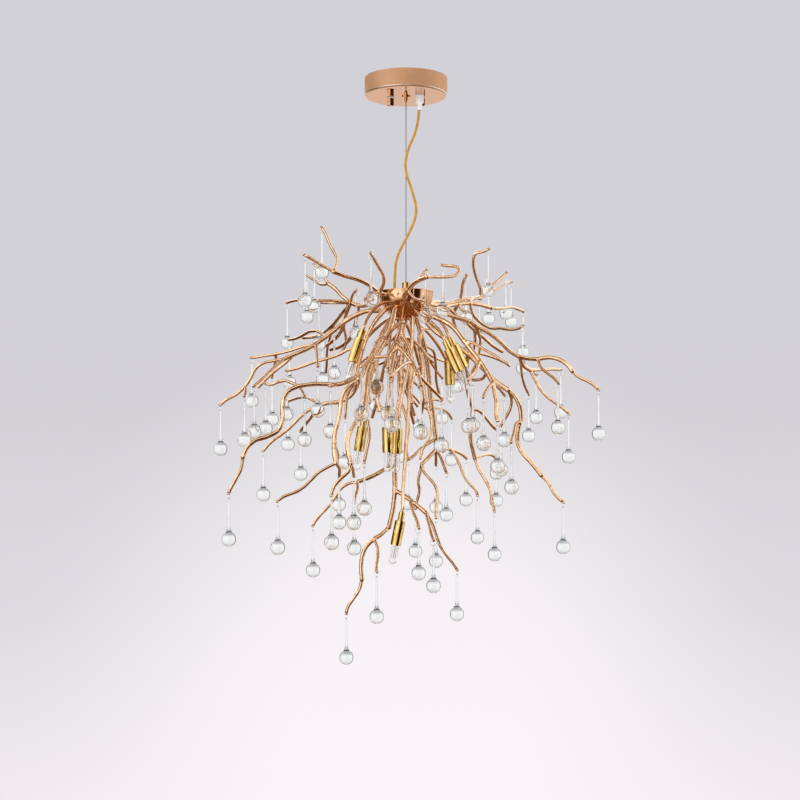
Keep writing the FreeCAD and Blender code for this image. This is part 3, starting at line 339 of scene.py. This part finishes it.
# The pale colour mixed in on the rounded edge is a painted highlight.
coloured = add(tree, "Mix", {"data_type": "RGBA", 6: linear(edge_highlight_colour)}, {0: off_edge, 7: plate.outputs[2]})
buffed = add(tree, "Mix", {"data_type": "FLOAT", 2: underside_roughness}, {0: on_wall, 3: satin.outputs[0]})
rough = add(tree, "Mix", {"data_type": "FLOAT", 2: edge_roughness}, {0: off_edge, 3: buffed.outputs[0]})
mark_strength = add(tree, "Math", {"operation": "MULTIPLY", 1: turning_mark_strength}, {0: on_wall})
bump = add(tree, "Bump", {"Distance": turning_mark_depth}, {"Height": marks, "Strength": mark_strength.outputs[0]})
lay_surface(tree, {"Metallic": 1.0},
            {"Base Color": coloured.outputs[2], "Roughness": rough.outputs[0], "Normal": bump.outputs[0]})
dress(["canopy_shell"], canopy_gloss)

# The hub and the gripper's body
# The hub is a spun bowl with a lid, and the gripper's body is turned. All are plated rose gold and buffed to a
# mirror with fine polishing marks.
mirror_tones = [(0.35, "D49C6E"), (0.65, "E6B78E")]
mirror_cloud_mm = 16
mirror_mark_mm = 0.7
mirror_roughness = (0.06, 0.16)


def polished_metal(name, tones, cloud_mm, mark_mm, roughness):
    """A buffed metal whose tone drifts in clouds, and whose fine marks move its roughness between two values."""
    material, tree, place = new_material(name)
    marks = add(tree, "TexNoise", {"Scale": pieces_per_metre(mark_mm), "Detail": 2.0}, {"Vector": place})
    rough = add(tree, "MapRange", {"To Min": roughness[0], "To Max": roughness[1]},
                {"Value": marks.outputs["Fac"]})
    lay_surface(tree, {"Metallic": 1.0},
                {"Base Color": drift(tree, place, cloud_mm, tones)[1], "Roughness": rough.outputs[0]})
    return material


rose_mirror = polished_metal("buffed_rose_gold_plate", mirror_tones, mirror_cloud_mm, mirror_mark_mm,
                             mirror_roughness)
dress(["gripper_body", "hub_lid", "hub_bowl"], rose_mirror)

# The gripper's nose, the rope's collar and the lamp sleeves
# These are turned from yellow brass and polished to a mirror, so they show bright and dark stripes.
# The brass is bare and drifts a little in tone.
brass_tones = [(0.3, "D0A552"), (0.7, "E8C884")]
brass_cloud_mm = 12
brass_mark_mm = 0.6
brass_roughness = (0.04, 0.10)
brass = polished_metal("polished_yellow_brass", brass_tones, brass_cloud_mm, brass_mark_mm, brass_roughness)
dress(["gripper_plunger", "rope_collar", "lamp_sleeves"], brass)

# The cord grip, its nut and the hub's bush
# They are moulded in natural nylon, which is milky and lets only a little light through. Its tone varies with
# the haze in it.
nylon_tones = [(0.3, "F6F4F3"), (0.7, "FDFCFC")]
nylon_haze_mm = 4


def cloudy_material(name, size_mm, tones, settings, detail=2.0):
    """A material whose tone drifts between two colours in clouds of that size, and the shader's other values."""
    material, tree, place = new_material(name)
    lay_surface(tree, settings, {"Base Color": drift(tree, place, size_mm, tones, detail)[1]})
    return material


nylon = cloudy_material("moulded_clear_nylon", nylon_haze_mm, nylon_tones,
                        {"Transmission Weight": 0.12, "IOR": 1.53, "Roughness": 0.25})
dress(["cord_grip", "cord_grip_nut", "hub_grommet"], nylon)

# The terminal block
# A block of moulded white nylon, where the cord meets the supply wires. It is plain and slightly shiny, and it
# shows only when the canopy is off.
block_tones = [(0.3, "DEDCD6"), (0.7, "EAE8E3")]
block_grain_mm = 1.2
block_white = cloudy_material("moulded_white_nylon", block_grain_mm, block_tones, {"Roughness": 0.42, "IOR": 1.53})
dress(["terminal_block"], block_white)

# The power cord
# A round cord in a golden sheath hangs in one slack S beside the rope, from its grip down into the hub. Its
# sheath is a soft shiny plastic over twisted cores, which show as faint slanting bands.
cord_route = [
    (0.0203, -0.0060, -0.0180),
    (0.0203, -0.0060, -0.0500),
    (0.0150, -0.0075, -0.0820),
    (0.0015, -0.0095, -0.1100),
    (-0.0020, -0.0100, -0.1380),
    (0.0090, -0.0100, -0.1680),
    (0.0180, -0.0100, -0.2020),
    (0.0030, -0.0110, -0.2370),
    (-0.0140, -0.0120, -0.2670),
    (-0.0170, -0.0120, -0.2970),
    (-0.0170, -0.0120, -0.3240),
]
cord_diameter = 0.0040
cord_sides = 24
cord_rings_per_metre = 900
spline_steps = 48
sheath_tones = [(0.45, "B4821A"), (0.95, "BE8E28")]
core_band_mm = 26


def smooth_line(route, steps):
    """The points of a quadratic NURBS spline that has the route's points as its control points."""
    curve = bpy.data.curves.new("line", "CURVE")
    curve.dimensions = "3D"
    spline = curve.splines.new("NURBS")
    spline.points.add(len(route) - 1)
    for point, spot in zip(spline.points, route):
        point.co = (*spot, 1)
    spline.order_u = 3
    spline.use_endpoint_u = True
    spline.resolution_u = steps
    holder = bpy.data.objects.new("line", curve)
    line = bpy.data.meshes.new_from_object(holder)
    points = np.empty(len(line.vertices) * 3)
    line.vertices.foreach_get("co", points)
    bpy.data.objects.remove(holder)
    bpy.data.curves.remove(curve)
    bpy.data.meshes.remove(line)
    return points.reshape(-1, 3)


def even(points, count):
    """The same line as that many points, evenly spaced along its length."""
    along = np.concatenate([[0], np.cumsum(np.linalg.norm(np.diff(points, axis=0), axis=1))])
    wanted = np.linspace(0, along[-1], count)
    return np.stack([np.interp(wanted, along, points[:, axis]) for axis in range(3)], axis=1)


def crosswise(points):
    """Two unit vectors square to the line at each point: the tangent crossed with Y, then crossed again."""
    tangent = np.gradient(points, axis=0)
    tangent /= np.linalg.norm(tangent, axis=1)[:, None]
    across = np.cross(tangent, (0, 1, 0))
    across /= np.linalg.norm(across, axis=1)[:, None]
    return across, np.cross(tangent, across)


def grid_faces(rows, columns):
    """Quads between the rows of a grid whose columns close on themselves."""
    start = np.arange(rows * columns).reshape(rows, columns)
    below = np.roll(start, -1, axis=1)
    return np.stack([start[:-1], below[:-1], below[1:], start[1:]], axis=-1).reshape(-1, 4)


def new_piece(name, points, faces, material, slot):
    """A smooth-shaded mesh object with its place in its mesh and its material. The finish it is given is not used.
    """
    mesh = bpy.data.meshes.new(name)
    mesh.from_pydata(points.tolist(), [], faces.tolist() if isinstance(faces, np.ndarray) else faces)
    mesh.polygons.foreach_set("use_smooth", np.ones(len(mesh.polygons), bool))
    mesh.materials.append(material)
    mesh.update()
    piece = bpy.data.objects.new(name, mesh)
    bpy.context.scene.collection.objects.link(piece)
    return piece


def tube(points, radius, sides):
    """A tube's points ring by ring, radius times the cosine and sine of each side round the line, and its faces
    with a flat face at each end."""
    across, up = crosswise(points)
    turn = np.linspace(0, 2 * math.pi, sides, endpoint=False)
    rings = points[:, None] + radius * (across[:, None] * np.cos(turn)[None, :, None]
                                        + up[:, None] * np.sin(turn)[None, :, None])
    count = len(points)
    faces = grid_faces(count, sides).tolist()
    faces.append(list(range(sides))[::-1])
    faces.append(list(range((count - 1) * sides, count * sides)))
    return rings.reshape(-1, 3), faces


sheath, tree, place = new_material("golden_cord_sheath")
cores = add(tree, "TexWave", {"wave_type": "BANDS", "bands_direction": "DIAGONAL", "Distortion": 0.6,
                              "Scale": pieces_per_metre(core_band_mm)}, {"Vector": place}).outputs["Fac"]
tone = add(tree, "ValToRGB", {"stops": sheath_tones}, {0: cores})
bump = add(tree, "Bump", {"Strength": 0.12, "Distance": 0.0002}, {"Height": cores})
lay_surface(tree, {"Roughness": 0.36}, {"Base Color": tone.outputs[0], "Normal": bump.outputs[0]})
cord_line = smooth_line(cord_route, spline_steps)
cord_length = float(np.linalg.norm(np.diff(cord_line, axis=0), axis=1).sum())
cord_line = even(cord_line, int(cord_length * cord_rings_per_metre))
cord_points, cord_faces = tube(cord_line, cord_diameter / 2, cord_sides)
cord = new_piece("cord", cord_points, cord_faces, sheath, "cord_sheath")
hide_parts("power_cord")
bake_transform(cord)

# The steel rope
# Six strands of drawn steel wire lie in a right-hand spiral round a core, so the rope is a grey twisted line. It
# carries the whole weight and hangs straight, and its spare end bends aside in the canopy.
rope_tones = [(0.3, "6E6E72"), (0.7, "9A9A9C")]
rope_wire_mm = 0.9
strand_count = 6
strand_radius = 0.00023
strand_reach = 0.00046
strand_lay = 0.0105
strand_sides = 7
rings_per_lay = 14
steel = cloudy_material("drawn_steel_wire", rope_wire_mm, rope_tones, {"Metallic": 1.0, "Roughness": 0.35})
dress(["rope_tail", "rope_ferrule"], steel)


def node_points(node):
    """The points of a CAD piece as rows of an array."""
    mesh = frame["nodes"][node].data
    points = np.empty(len(mesh.vertices) * 3)
    mesh.vertices.foreach_get("co", points)
    return points.reshape(-1, 3)


def gather(bodies):
    """Several bodies as one: their points in a row, and each body's faces counted on from the last one's."""
    points = []
    faces = []
    count = 0
    for part, part_faces in bodies:
        points.append(part)
        faces += [[corner + count for corner in face] for face in part_faces]
        count += len(part)
    return np.concatenate(points), faces


rope_heights = node_points("suspension_rope")[:, 2]
rope_length = rope_heights.max() - rope_heights.min()
along_rope = np.linspace(0, 1, int(rope_length / strand_lay * rings_per_lay))
strands = []
for strand in range(strand_count + 1):
    twist = 2 * math.pi * (along_rope * rope_length / strand_lay + strand / strand_count)
    aside = strand_reach if strand < strand_count else 0
    strand_line = np.stack([aside * np.cos(twist), aside * np.sin(twist),
                            rope_heights.min() + along_rope * rope_length], axis=1)
    strands.append(tube(strand_line, strand_radius, strand_sides))
rope_points, rope_faces = gather(strands)
rope = new_piece("rope", rope_points, rope_faces, steel, "rope_steel")
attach(rope, "fixture")
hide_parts("suspension_rope")

# The canopy's cap nuts
# Two closed hexagonal nuts are turned and milled from brass, with a pale rose-gold plate that is mottled with
# painted cream highlights and painted brown reflections. Each is screwed on a stud and presses a white nylon
# washer on the canopy.
nut_places = [(-0.0233, 0.0070), (0.0233, 0.0070)]
nut_corner = 0.0059
nut_sides = 6
nut_turn = math.radians(26)
nut_heights = (-0.0395, -0.0388, -0.0281, -0.0277)
nut_chamfer = 0.0006
nut_end_chamfer = 0.00096
# The nuts' tone is mottled between painted brown reflections and painted cream highlights on a pale plate.
nut_painted_reflection_tones = [(0.40, "C98F66"), (0.52, "F6DCC2")]
nut_painted_reflection_mm = 2.5
washer_radius = 0.0060
washer_heights = (-0.0277, -0.0265)
washer_bevel = 0.0002
washer_sides = 40


def stack(rings, sides):
    """A closed body of rings round Z, from the lowest up. A ring is a height, two half widths and a power: its
    points are the half widths times the cosine and the sine of each side, whose sizes are raised to two over the
    power. A fan closes each end."""
    height, half_x, half_y, power = np.array(rings, float).T[:, :, None]
    turn = np.linspace(0, 2 * math.pi, sides, endpoint=False)[None]
    across = np.sign(np.cos(turn)) * abs(np.cos(turn)) ** (2 / power)
    beyond = np.sign(np.sin(turn)) * abs(np.sin(turn)) ** (2 / power)
    body = np.stack([half_x * across, half_y * beyond, height + 0 * turn], axis=-1).reshape(-1, 3)
    faces = grid_faces(len(rings), sides).tolist()
    foot = len(body)
    ring = np.arange(sides)
    ahead = np.roll(ring, -1)
    last = foot - sides
    faces += [[foot, there, here] for here, there in zip(ring, ahead)]
    faces += [[foot + 1, last + here, last + there] for here, there in zip(ring, ahead)]
    return np.concatenate([body, [(0, 0, rings[0][0]), (0, 0, rings[-1][0])]]), faces


def round_stack(rows, sides):
    """A stack as wide as it is deep: each row is a height and a radius."""
    return stack([(height, radius, radius, 2) for height, radius in rows], sides)


nut_radii = (nut_corner - nut_end_chamfer, nut_corner, nut_corner, nut_corner - nut_chamfer)
nut_way = np.array([(math.cos(nut_turn), math.sin(nut_turn), 0), (-math.sin(nut_turn), math.cos(nut_turn), 0),
                    (0, 0, 1)])
nut_body, nut_faces = round_stack(zip(nut_heights, nut_radii), nut_sides)
washer_body, washer_faces = round_stack([(washer_heights[0], washer_radius - washer_bevel),
                                         (washer_heights[0] + washer_bevel, washer_radius),
                                         (washer_heights[1], washer_radius)], washer_sides)
nuts = [(nut_body @ nut_way + (*spot, 0), nut_faces) for spot in nut_places]
washers = [(washer_body + (*spot, 0), washer_faces) for spot in nut_places]
# This plate's mottle is painted highlight and painted reflection.
painted_reflection_plate = cloudy_material("pale_rose_gold_plate_painted_reflections", nut_painted_reflection_mm, nut_painted_reflection_tones,
                             {"Metallic": 1.0, "Roughness": 0.12})
cap_nuts = new_piece("cap_nuts", *gather(nuts), painted_reflection_plate, "canopy_metal")
cap_nuts.data.polygons.foreach_set("use_smooth", np.zeros(len(cap_nuts.data.polygons), bool))
cap_nut_washers = new_piece("cap_nut_washers", *gather(washers), block_white, "white_plastic")
for piece in (cap_nuts, cap_nut_washers):
    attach(piece, "canopy")
    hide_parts("canopy_cap_nuts")

# The limbs and the lamp arms
# Sixteen limbs of cast metal grow from the hub like roots, each one casting with its forks flowing into each
# other. They are rose-gold plated and lacquered over an uneven skin, so they show pale streaks and brown shades.
limb_tones = [(0.32, "CC925A"), (0.62, "EABB86")]
limb_cloud_mm = 14
limb_grain_mm = 1.6
limb_roughness = (0.07, 0.18)
weld_gap = 0.00001
skin_voxel = 0.0008
smoothing_rounds = 11
smoothing_loss = 0.00016
swell = 0.00022
swell_mm = (31, 17, 9)
swell_ways = np.array([[1.0, 0.31, 0.57], [-0.43, 1.0, 0.38], [0.29, -0.52, 1.0]])
swell_starts = np.array([0.7, 0.0, 4.3])
swell_shifts = np.array([1.0, 2.1, -1.0])


def uneven(points):
    """How far a skin swells, between -1 and 1: for each swelling's length, the product of three sines of the
    place along three ways, summed with the shorter ones weaker."""
    total = np.zeros(len(points))
    for step, size in enumerate(swell_mm):
        waves = swell_ways * (2 * math.pi / size * 1000)
        starts = swell_starts + step * swell_shifts
        total += np.sin(points @ waves.T + starts).prod(axis=1) / (step + 1)
    return np.clip(total, -1, 1)


def cast_skin(node):
    """A copy of a CAD limb with its forks run together: merged, remeshed in small cubes, smoothed, and moved
    outwards by what the smoothing took and by its swelling."""
    mesh = frame["nodes"][node].data.copy()
    mesh.name = node + "_casting"
    piece = bpy.data.objects.new(node + "_casting", mesh)
    bpy.context.scene.collection.objects.link(piece)
    weld = piece.modifiers.new("weld", "WELD")
    weld.merge_threshold = weld_gap
    cubes = piece.modifiers.new("cubes", "REMESH")
    cubes.mode = "VOXEL"
    cubes.voxel_size = skin_voxel
    flow = piece.modifiers.new("flow", "SMOOTH")
    flow.factor = 0.5
    flow.iterations = smoothing_rounds
    graph = bpy.context.evaluated_depsgraph_get()
    made = bpy.data.meshes.new_from_object(piece.evaluated_get(graph), depsgraph=graph)
    piece.modifiers.clear()
    piece.data = made
    count = len(made.vertices)
    points = np.empty(count * 3)
    outward = np.empty(count * 3)
    made.vertices.foreach_get("co", points)
    made.vertex_normals.foreach_get("vector", outward)
    points = points.reshape(-1, 3)
    points += outward.reshape(-1, 3) * (smoothing_loss + swell * uneven(points))[:, None]
    made.vertices.foreach_set("co", points.ravel())
    made.polygons.foreach_set("use_smooth", np.ones(len(made.polygons), bool))
    made.update()
    return piece


casting, tree, place = new_material("rose_gold_plated_casting")
clouds = add(tree, "TexNoise", {"Scale": pieces_per_metre(limb_cloud_mm), "Detail": 4.0, "Roughness": 0.6},
             {"Vector": place}).outputs["Fac"]
tone = add(tree, "ValToRGB", {"stops": limb_tones}, {0: clouds})
rough = add(tree, "MapRange", {"To Min": limb_roughness[0], "To Max": limb_roughness[1]}, {"Value": clouds})
grain = add(tree, "TexNoise", {"Scale": pieces_per_metre(limb_grain_mm), "Detail": 3.0}, {"Vector": place})
bump = add(tree, "Bump", {"Strength": 0.06, "Distance": 0.0003}, {"Height": grain.outputs["Fac"]})
lay_surface(tree, {"Metallic": 1.0, "Coat Weight": 1.0, "Coat IOR": 1.9, "Coat Roughness": 0.05},
            {"Base Color": tone.outputs[0], "Roughness": rough.outputs[0], "Normal": bump.outputs[0]})
for node in sorted(name for name in frame["nodes"] if name.startswith("limb_")):
    limb = cast_skin(node)
    limb.data.materials.clear()
    limb.data.materials.append(casting)
    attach(limb, "fixture")
    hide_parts(node)
dress(["lamp_arms"], casting)

# The lampholders' sockets
# Each sleeve holds a pressed socket of white steatite, which a thin glaze makes a little shiny. It has a slot for
# the lamp's flat base.
ceramic_tones = [(0.3, "D9D5CA"), (0.7, "EAE7DF")]
ceramic_grain_mm = 2
ceramic = cloudy_material("glazed_steatite", ceramic_grain_mm, ceramic_tones,
                          {"Roughness": 0.3, "Coat Weight": 0.3})
dress(["lamp_sockets"], ceramic)

# The lamps
# Each is a capsule of clear pressed glass, hollow, with a coiled tungsten filament on two wires inside. Its flat
# pinched base stands in the socket.
lamp_radius = 0.0059
lamp_dome = 0.0050
lamp_wall = 0.0007
pinch_start = 0.0390
pinch_end = 0.0460
base_half_width = 0.0045
base_half_thickness = 0.0022
base_power = 6
base_reach = 0.0020
lamp_sides = 32
dome_start = 0.12
dome_rings = 9
pinch_rings = 8
lead_radius = 0.00028
lead_apart = 0.0026
lead_end = 0.0080
lead_rings = 12
lead_sides = 8
coil_radius = 0.0011
coil_wire = 0.00016
coil_start = 0.0090
coil_end = 0.0300
coil_turns = 16
coil_rings_per_turn = 14
coil_sides = 6
bulb_tones = [(0.3, "FBF8F7"), (0.7, "FFFEFD")]
bulb_ripple_mm = 6
tungsten_tones = [(0.3, "77726E"), (0.7, "A39D98")]
tungsten_grain_mm = 0.5


def loose_parts(node):
    """The separate solids of a CAD piece, as their points: equal points share a number, and each triangle
    passes its smallest number on until nothing changes."""
    mesh = frame["nodes"][node].data
    unique, number = np.unique(np.round(node_points(node), 6), axis=0, return_inverse=True)
    corners = np.empty(len(mesh.loops), int)
    mesh.loops.foreach_get("vertex_index", corners)
    corners = number.ravel()[corners].reshape(-1, 3)
    label = np.arange(len(unique))
    while True:
        lowest = label[corners].min(axis=1)
        passed = label.copy()
        np.minimum.at(passed, corners.ravel(), np.repeat(lowest, 3))
        passed = passed[passed]
        if (passed == label).all():
            break
        label = passed
    return [unique[label == mark] for mark in np.unique(label)]


def unit_lamp(length):
    """One lamp that stands on its round tip at the origin: the tip is a quarter of an ellipse turned round Z, the
    wall is straight, and it narrows into the flat base by a smooth step. Inside is a hollow, turned inside out,
    two straight wires and the filament, a spiral round Z."""
    lift = np.linspace(dome_start, math.pi / 2, dome_rings)
    dome = np.stack([lamp_dome * (1 - np.cos(lift)), lamp_radius * np.sin(lift), lamp_radius * np.sin(lift),
                     np.full(dome_rings, 2)], axis=1)
    step = np.linspace(0, 1, pinch_rings)[:, None]
    step = step * step * (3 - 2 * step)
    wide = np.array([pinch_start, lamp_radius, lamp_radius, 2])
    flat = np.array([pinch_end, base_half_width, base_half_thickness, base_power])
    pinch = wide + (flat - wide) * step
    pinch[:, 0] = np.linspace(pinch_start, pinch_end, pinch_rings)
    foot = flat * (0, 1, 1, 1) + (length, 0, 0, 0)
    glass_body = stack(np.concatenate([dome, pinch, [foot]]), lamp_sides)
    inner = dome * (1, 0, 0, 1) + (lamp_wall, 0, 0, 0)
    inner[:, 1:3] = dome[:, 1:3] - lamp_wall
    shoulder = inner[::-1] * (-1, 1, 1, 1) + (pinch_start, 0, 0, 0)
    hollow, hollow_faces = stack(np.concatenate([inner, shoulder]), lamp_sides)
    metal = []
    for side in (-1, 1):
        wire = np.linspace((side * lead_apart, 0, lead_end), (side * lead_apart, 0, pinch_end), lead_rings)
        metal.append(tube(wire, lead_radius, lead_sides))
    turn = np.linspace(0, 2 * math.pi * coil_turns, coil_turns * coil_rings_per_turn)
    coil = np.stack([coil_radius * np.cos(turn), coil_radius * np.sin(turn),
                     np.linspace(coil_start, coil_end, len(turn))], axis=1)
    outward = np.stack([np.cos(turn), np.sin(turn), 0 * turn], axis=1)
    round_wire = np.linspace(0, 2 * math.pi, coil_sides, endpoint=False)
    rings = coil[:, None] + coil_wire * (outward[:, None] * np.cos(round_wire)[None, :, None]
                                         + np.array((0, 0, 1)) * np.sin(round_wire)[None, :, None])
    coil_faces = grid_faces(len(turn), coil_sides)[:, ::-1].tolist()
    coil_faces += [list(range(coil_sides)),
                   list(range((len(turn) - 1) * coil_sides, len(turn) * coil_sides))[::-1]]
    metal.append((rings.reshape(-1, 3), coil_faces))
    return gather([glass_body, (hollow, [face[::-1] for face in hollow_faces])]), gather(metal)


def rippled_glass(name, ripple_mm, tones, strength, depth, roughness):
    """Clear glass with a faint ripple of that size, which moves its surface and its tone."""
    material, tree, place = new_material(name)
    ripple, tone = drift(tree, place, ripple_mm, tones, 1.0)
    bump = add(tree, "Bump", {"Strength": strength, "Distance": depth}, {"Height": ripple})
    lay_surface(tree, {"Transmission Weight": 1.0, "IOR": 1.5, "Roughness": roughness},
                {"Base Color": tone, "Normal": bump.outputs[0]})
    return material


bulb_clear = rippled_glass("pressed_lamp_glass", bulb_ripple_mm, bulb_tones, 0.06, 0.0003, 0.04)
tungsten = cloudy_material("drawn_tungsten", tungsten_grain_mm, tungsten_tones,
                           {"Metallic": 1.0, "Roughness": 0.3}, 1.0)
lamp_glass = []
lamp_metal = []
for solid in loose_parts("lamp_bulbs"):
    centre = solid.mean(axis=0)
    spread_ways = np.linalg.eigh(np.cov((solid - centre).T))[1]
    rise = spread_ways[:, 2] * np.sign(spread_ways[2, 2])
    height = (solid - centre) @ rise
    tip = centre + rise * height.min()
    base = solid[height > height.max() - base_reach] - centre
    base = base - np.outer(base @ rise, rise)
    broad = np.linalg.eigh(base.T @ base)[1][:, 2]
    turn_to = np.stack([broad, np.cross(rise, broad), rise])
    glass_body, metal_body = unit_lamp(height.max() - height.min())
    lamp_glass.append((glass_body[0] @ turn_to + tip, glass_body[1]))
    lamp_metal.append((metal_body[0] @ turn_to + tip, metal_body[1]))
lamps = new_piece("lamps", *gather(lamp_glass), bulb_clear, "bulb_glass")
filaments = new_piece("lamp_filaments", *gather(lamp_metal), tungsten, "zinc_steel")
for piece in (lamps, filaments):
    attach(piece, "fixture")
    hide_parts("lamp_bulbs")

# The glass drops
# Each is lamp-worked from a clear rod: a solid ball, a slim neck that widens where it meets the ball, and a
# loop bent round to hang in a branch's tip. The glass is clear with a faint ripple.
ball_radius = 0.0107
loop_radius = 0.0045
loop_wire = 0.0007
neck_radius = 0.0015
neck_top_radius = 0.0010
collar_radius = 0.0047
# Rows of a height over the ball's end, or a depth under the neck's top, and the neck's radius there.
neck_over_ball = [(0, collar_radius), (0.0025, 0.003375), (0.0075, 0.0020), (0.0180, neck_radius)]
neck_under_top = [(0.0060, neck_radius), (0, neck_top_radius)]
ball_zone = 1.8 * ball_radius
pole_start = 0.08
profile_rings = 30
drop_sides = 32
loop_rings = 28
loop_sides = 8
drop_tones = [(0.3, "FBFDFD"), (0.7, "FFFFFF")]
drop_ripple_mm = 9


def unit_drop(drop_length):
    """One drop hung at the origin, its loop's wire across X. The ball is a circle turned round Z, the neck's
    radii are joined straight between a few heights, and the loop is a ring of small circles."""
    ball_middle = ball_radius - drop_length
    round_ball = np.linspace(math.pi - pole_start, math.asin(collar_radius / ball_radius), profile_rings)
    ball = np.stack([ball_middle + ball_radius * np.cos(round_ball), ball_radius * np.sin(round_ball)], axis=1)
    top = loop_wire / 2 - 2 * loop_radius
    collar = ball[-1, 0]
    knots = [(collar + over, radius) for over, radius in neck_over_ball]
    knots += [(top - under, radius) for under, radius in neck_under_top]
    neck_heights = np.linspace(collar, top, profile_rings)[1:]
    neck = np.stack([neck_heights, np.interp(neck_heights, *zip(*knots))], axis=1)
    outline = np.concatenate([ball, neck])
    body = round_stack(outline, drop_sides)
    round_loop = np.linspace(0, 2 * math.pi, loop_rings, endpoint=False)[:, None]
    round_wire = np.linspace(0, 2 * math.pi, loop_sides, endpoint=False)[None]
    reach = loop_radius + loop_wire * np.cos(round_wire)
    loop = np.stack([reach * np.cos(round_loop), loop_wire * np.sin(round_wire) + 0 * round_loop,
                     reach * np.sin(round_loop) - loop_radius - loop_wire / 2], axis=-1)
    start = np.arange(loop_rings * loop_sides).reshape(loop_rings, loop_sides)
    ahead = np.roll(start, -1, axis=0)
    loop_faces = np.stack([start, np.roll(start, -1, axis=1), np.roll(ahead, -1, axis=1), ahead],
                          axis=-1).reshape(-1, 4).tolist()
    return gather([body, (loop.reshape(-1, 3), loop_faces)])


def hang_drops(node):
    """All the drops of one CAD piece as one mesh, each turned about the upright to its loop's direction."""
    drops = []
    for solid in loose_parts(node):
        top = solid[:, 2].max()
        foot = solid[:, 2].min()
        ball = solid[solid[:, 2] < foot + ball_zone]
        middle = (ball[:, :2].min(axis=0) + ball[:, :2].max(axis=0)) / 2
        loop = solid[solid[:, 2] > top - loop_radius][:, :2] - middle
        along = np.linalg.eigh(loop.T @ loop)[1][:, 1]
        body, faces = unit_drop(top - foot)
        placed = np.column_stack([middle + body[:, :1] * along + body[:, 1:2] * (-along[1], along[0]),
                                  top + body[:, 2]])
        drops.append((placed, faces))
    return gather(drops)


glass = rippled_glass("lamp_worked_clear_glass", drop_ripple_mm, drop_tones, 0.03, 0.0004, 0.0)
body_of_node = {node: body for body, nodes in frame["record"]["behaviour"]["bodies"].items() for node in nodes}
for node in sorted(name for name in frame["nodes"] if name.startswith("drop")):
    drop_points, drop_faces = hang_drops(node)
    drop = new_piece(node + "_glass", drop_points, drop_faces, glass, "drop_glass")
    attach(drop, body_of_node[node])
    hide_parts(node)
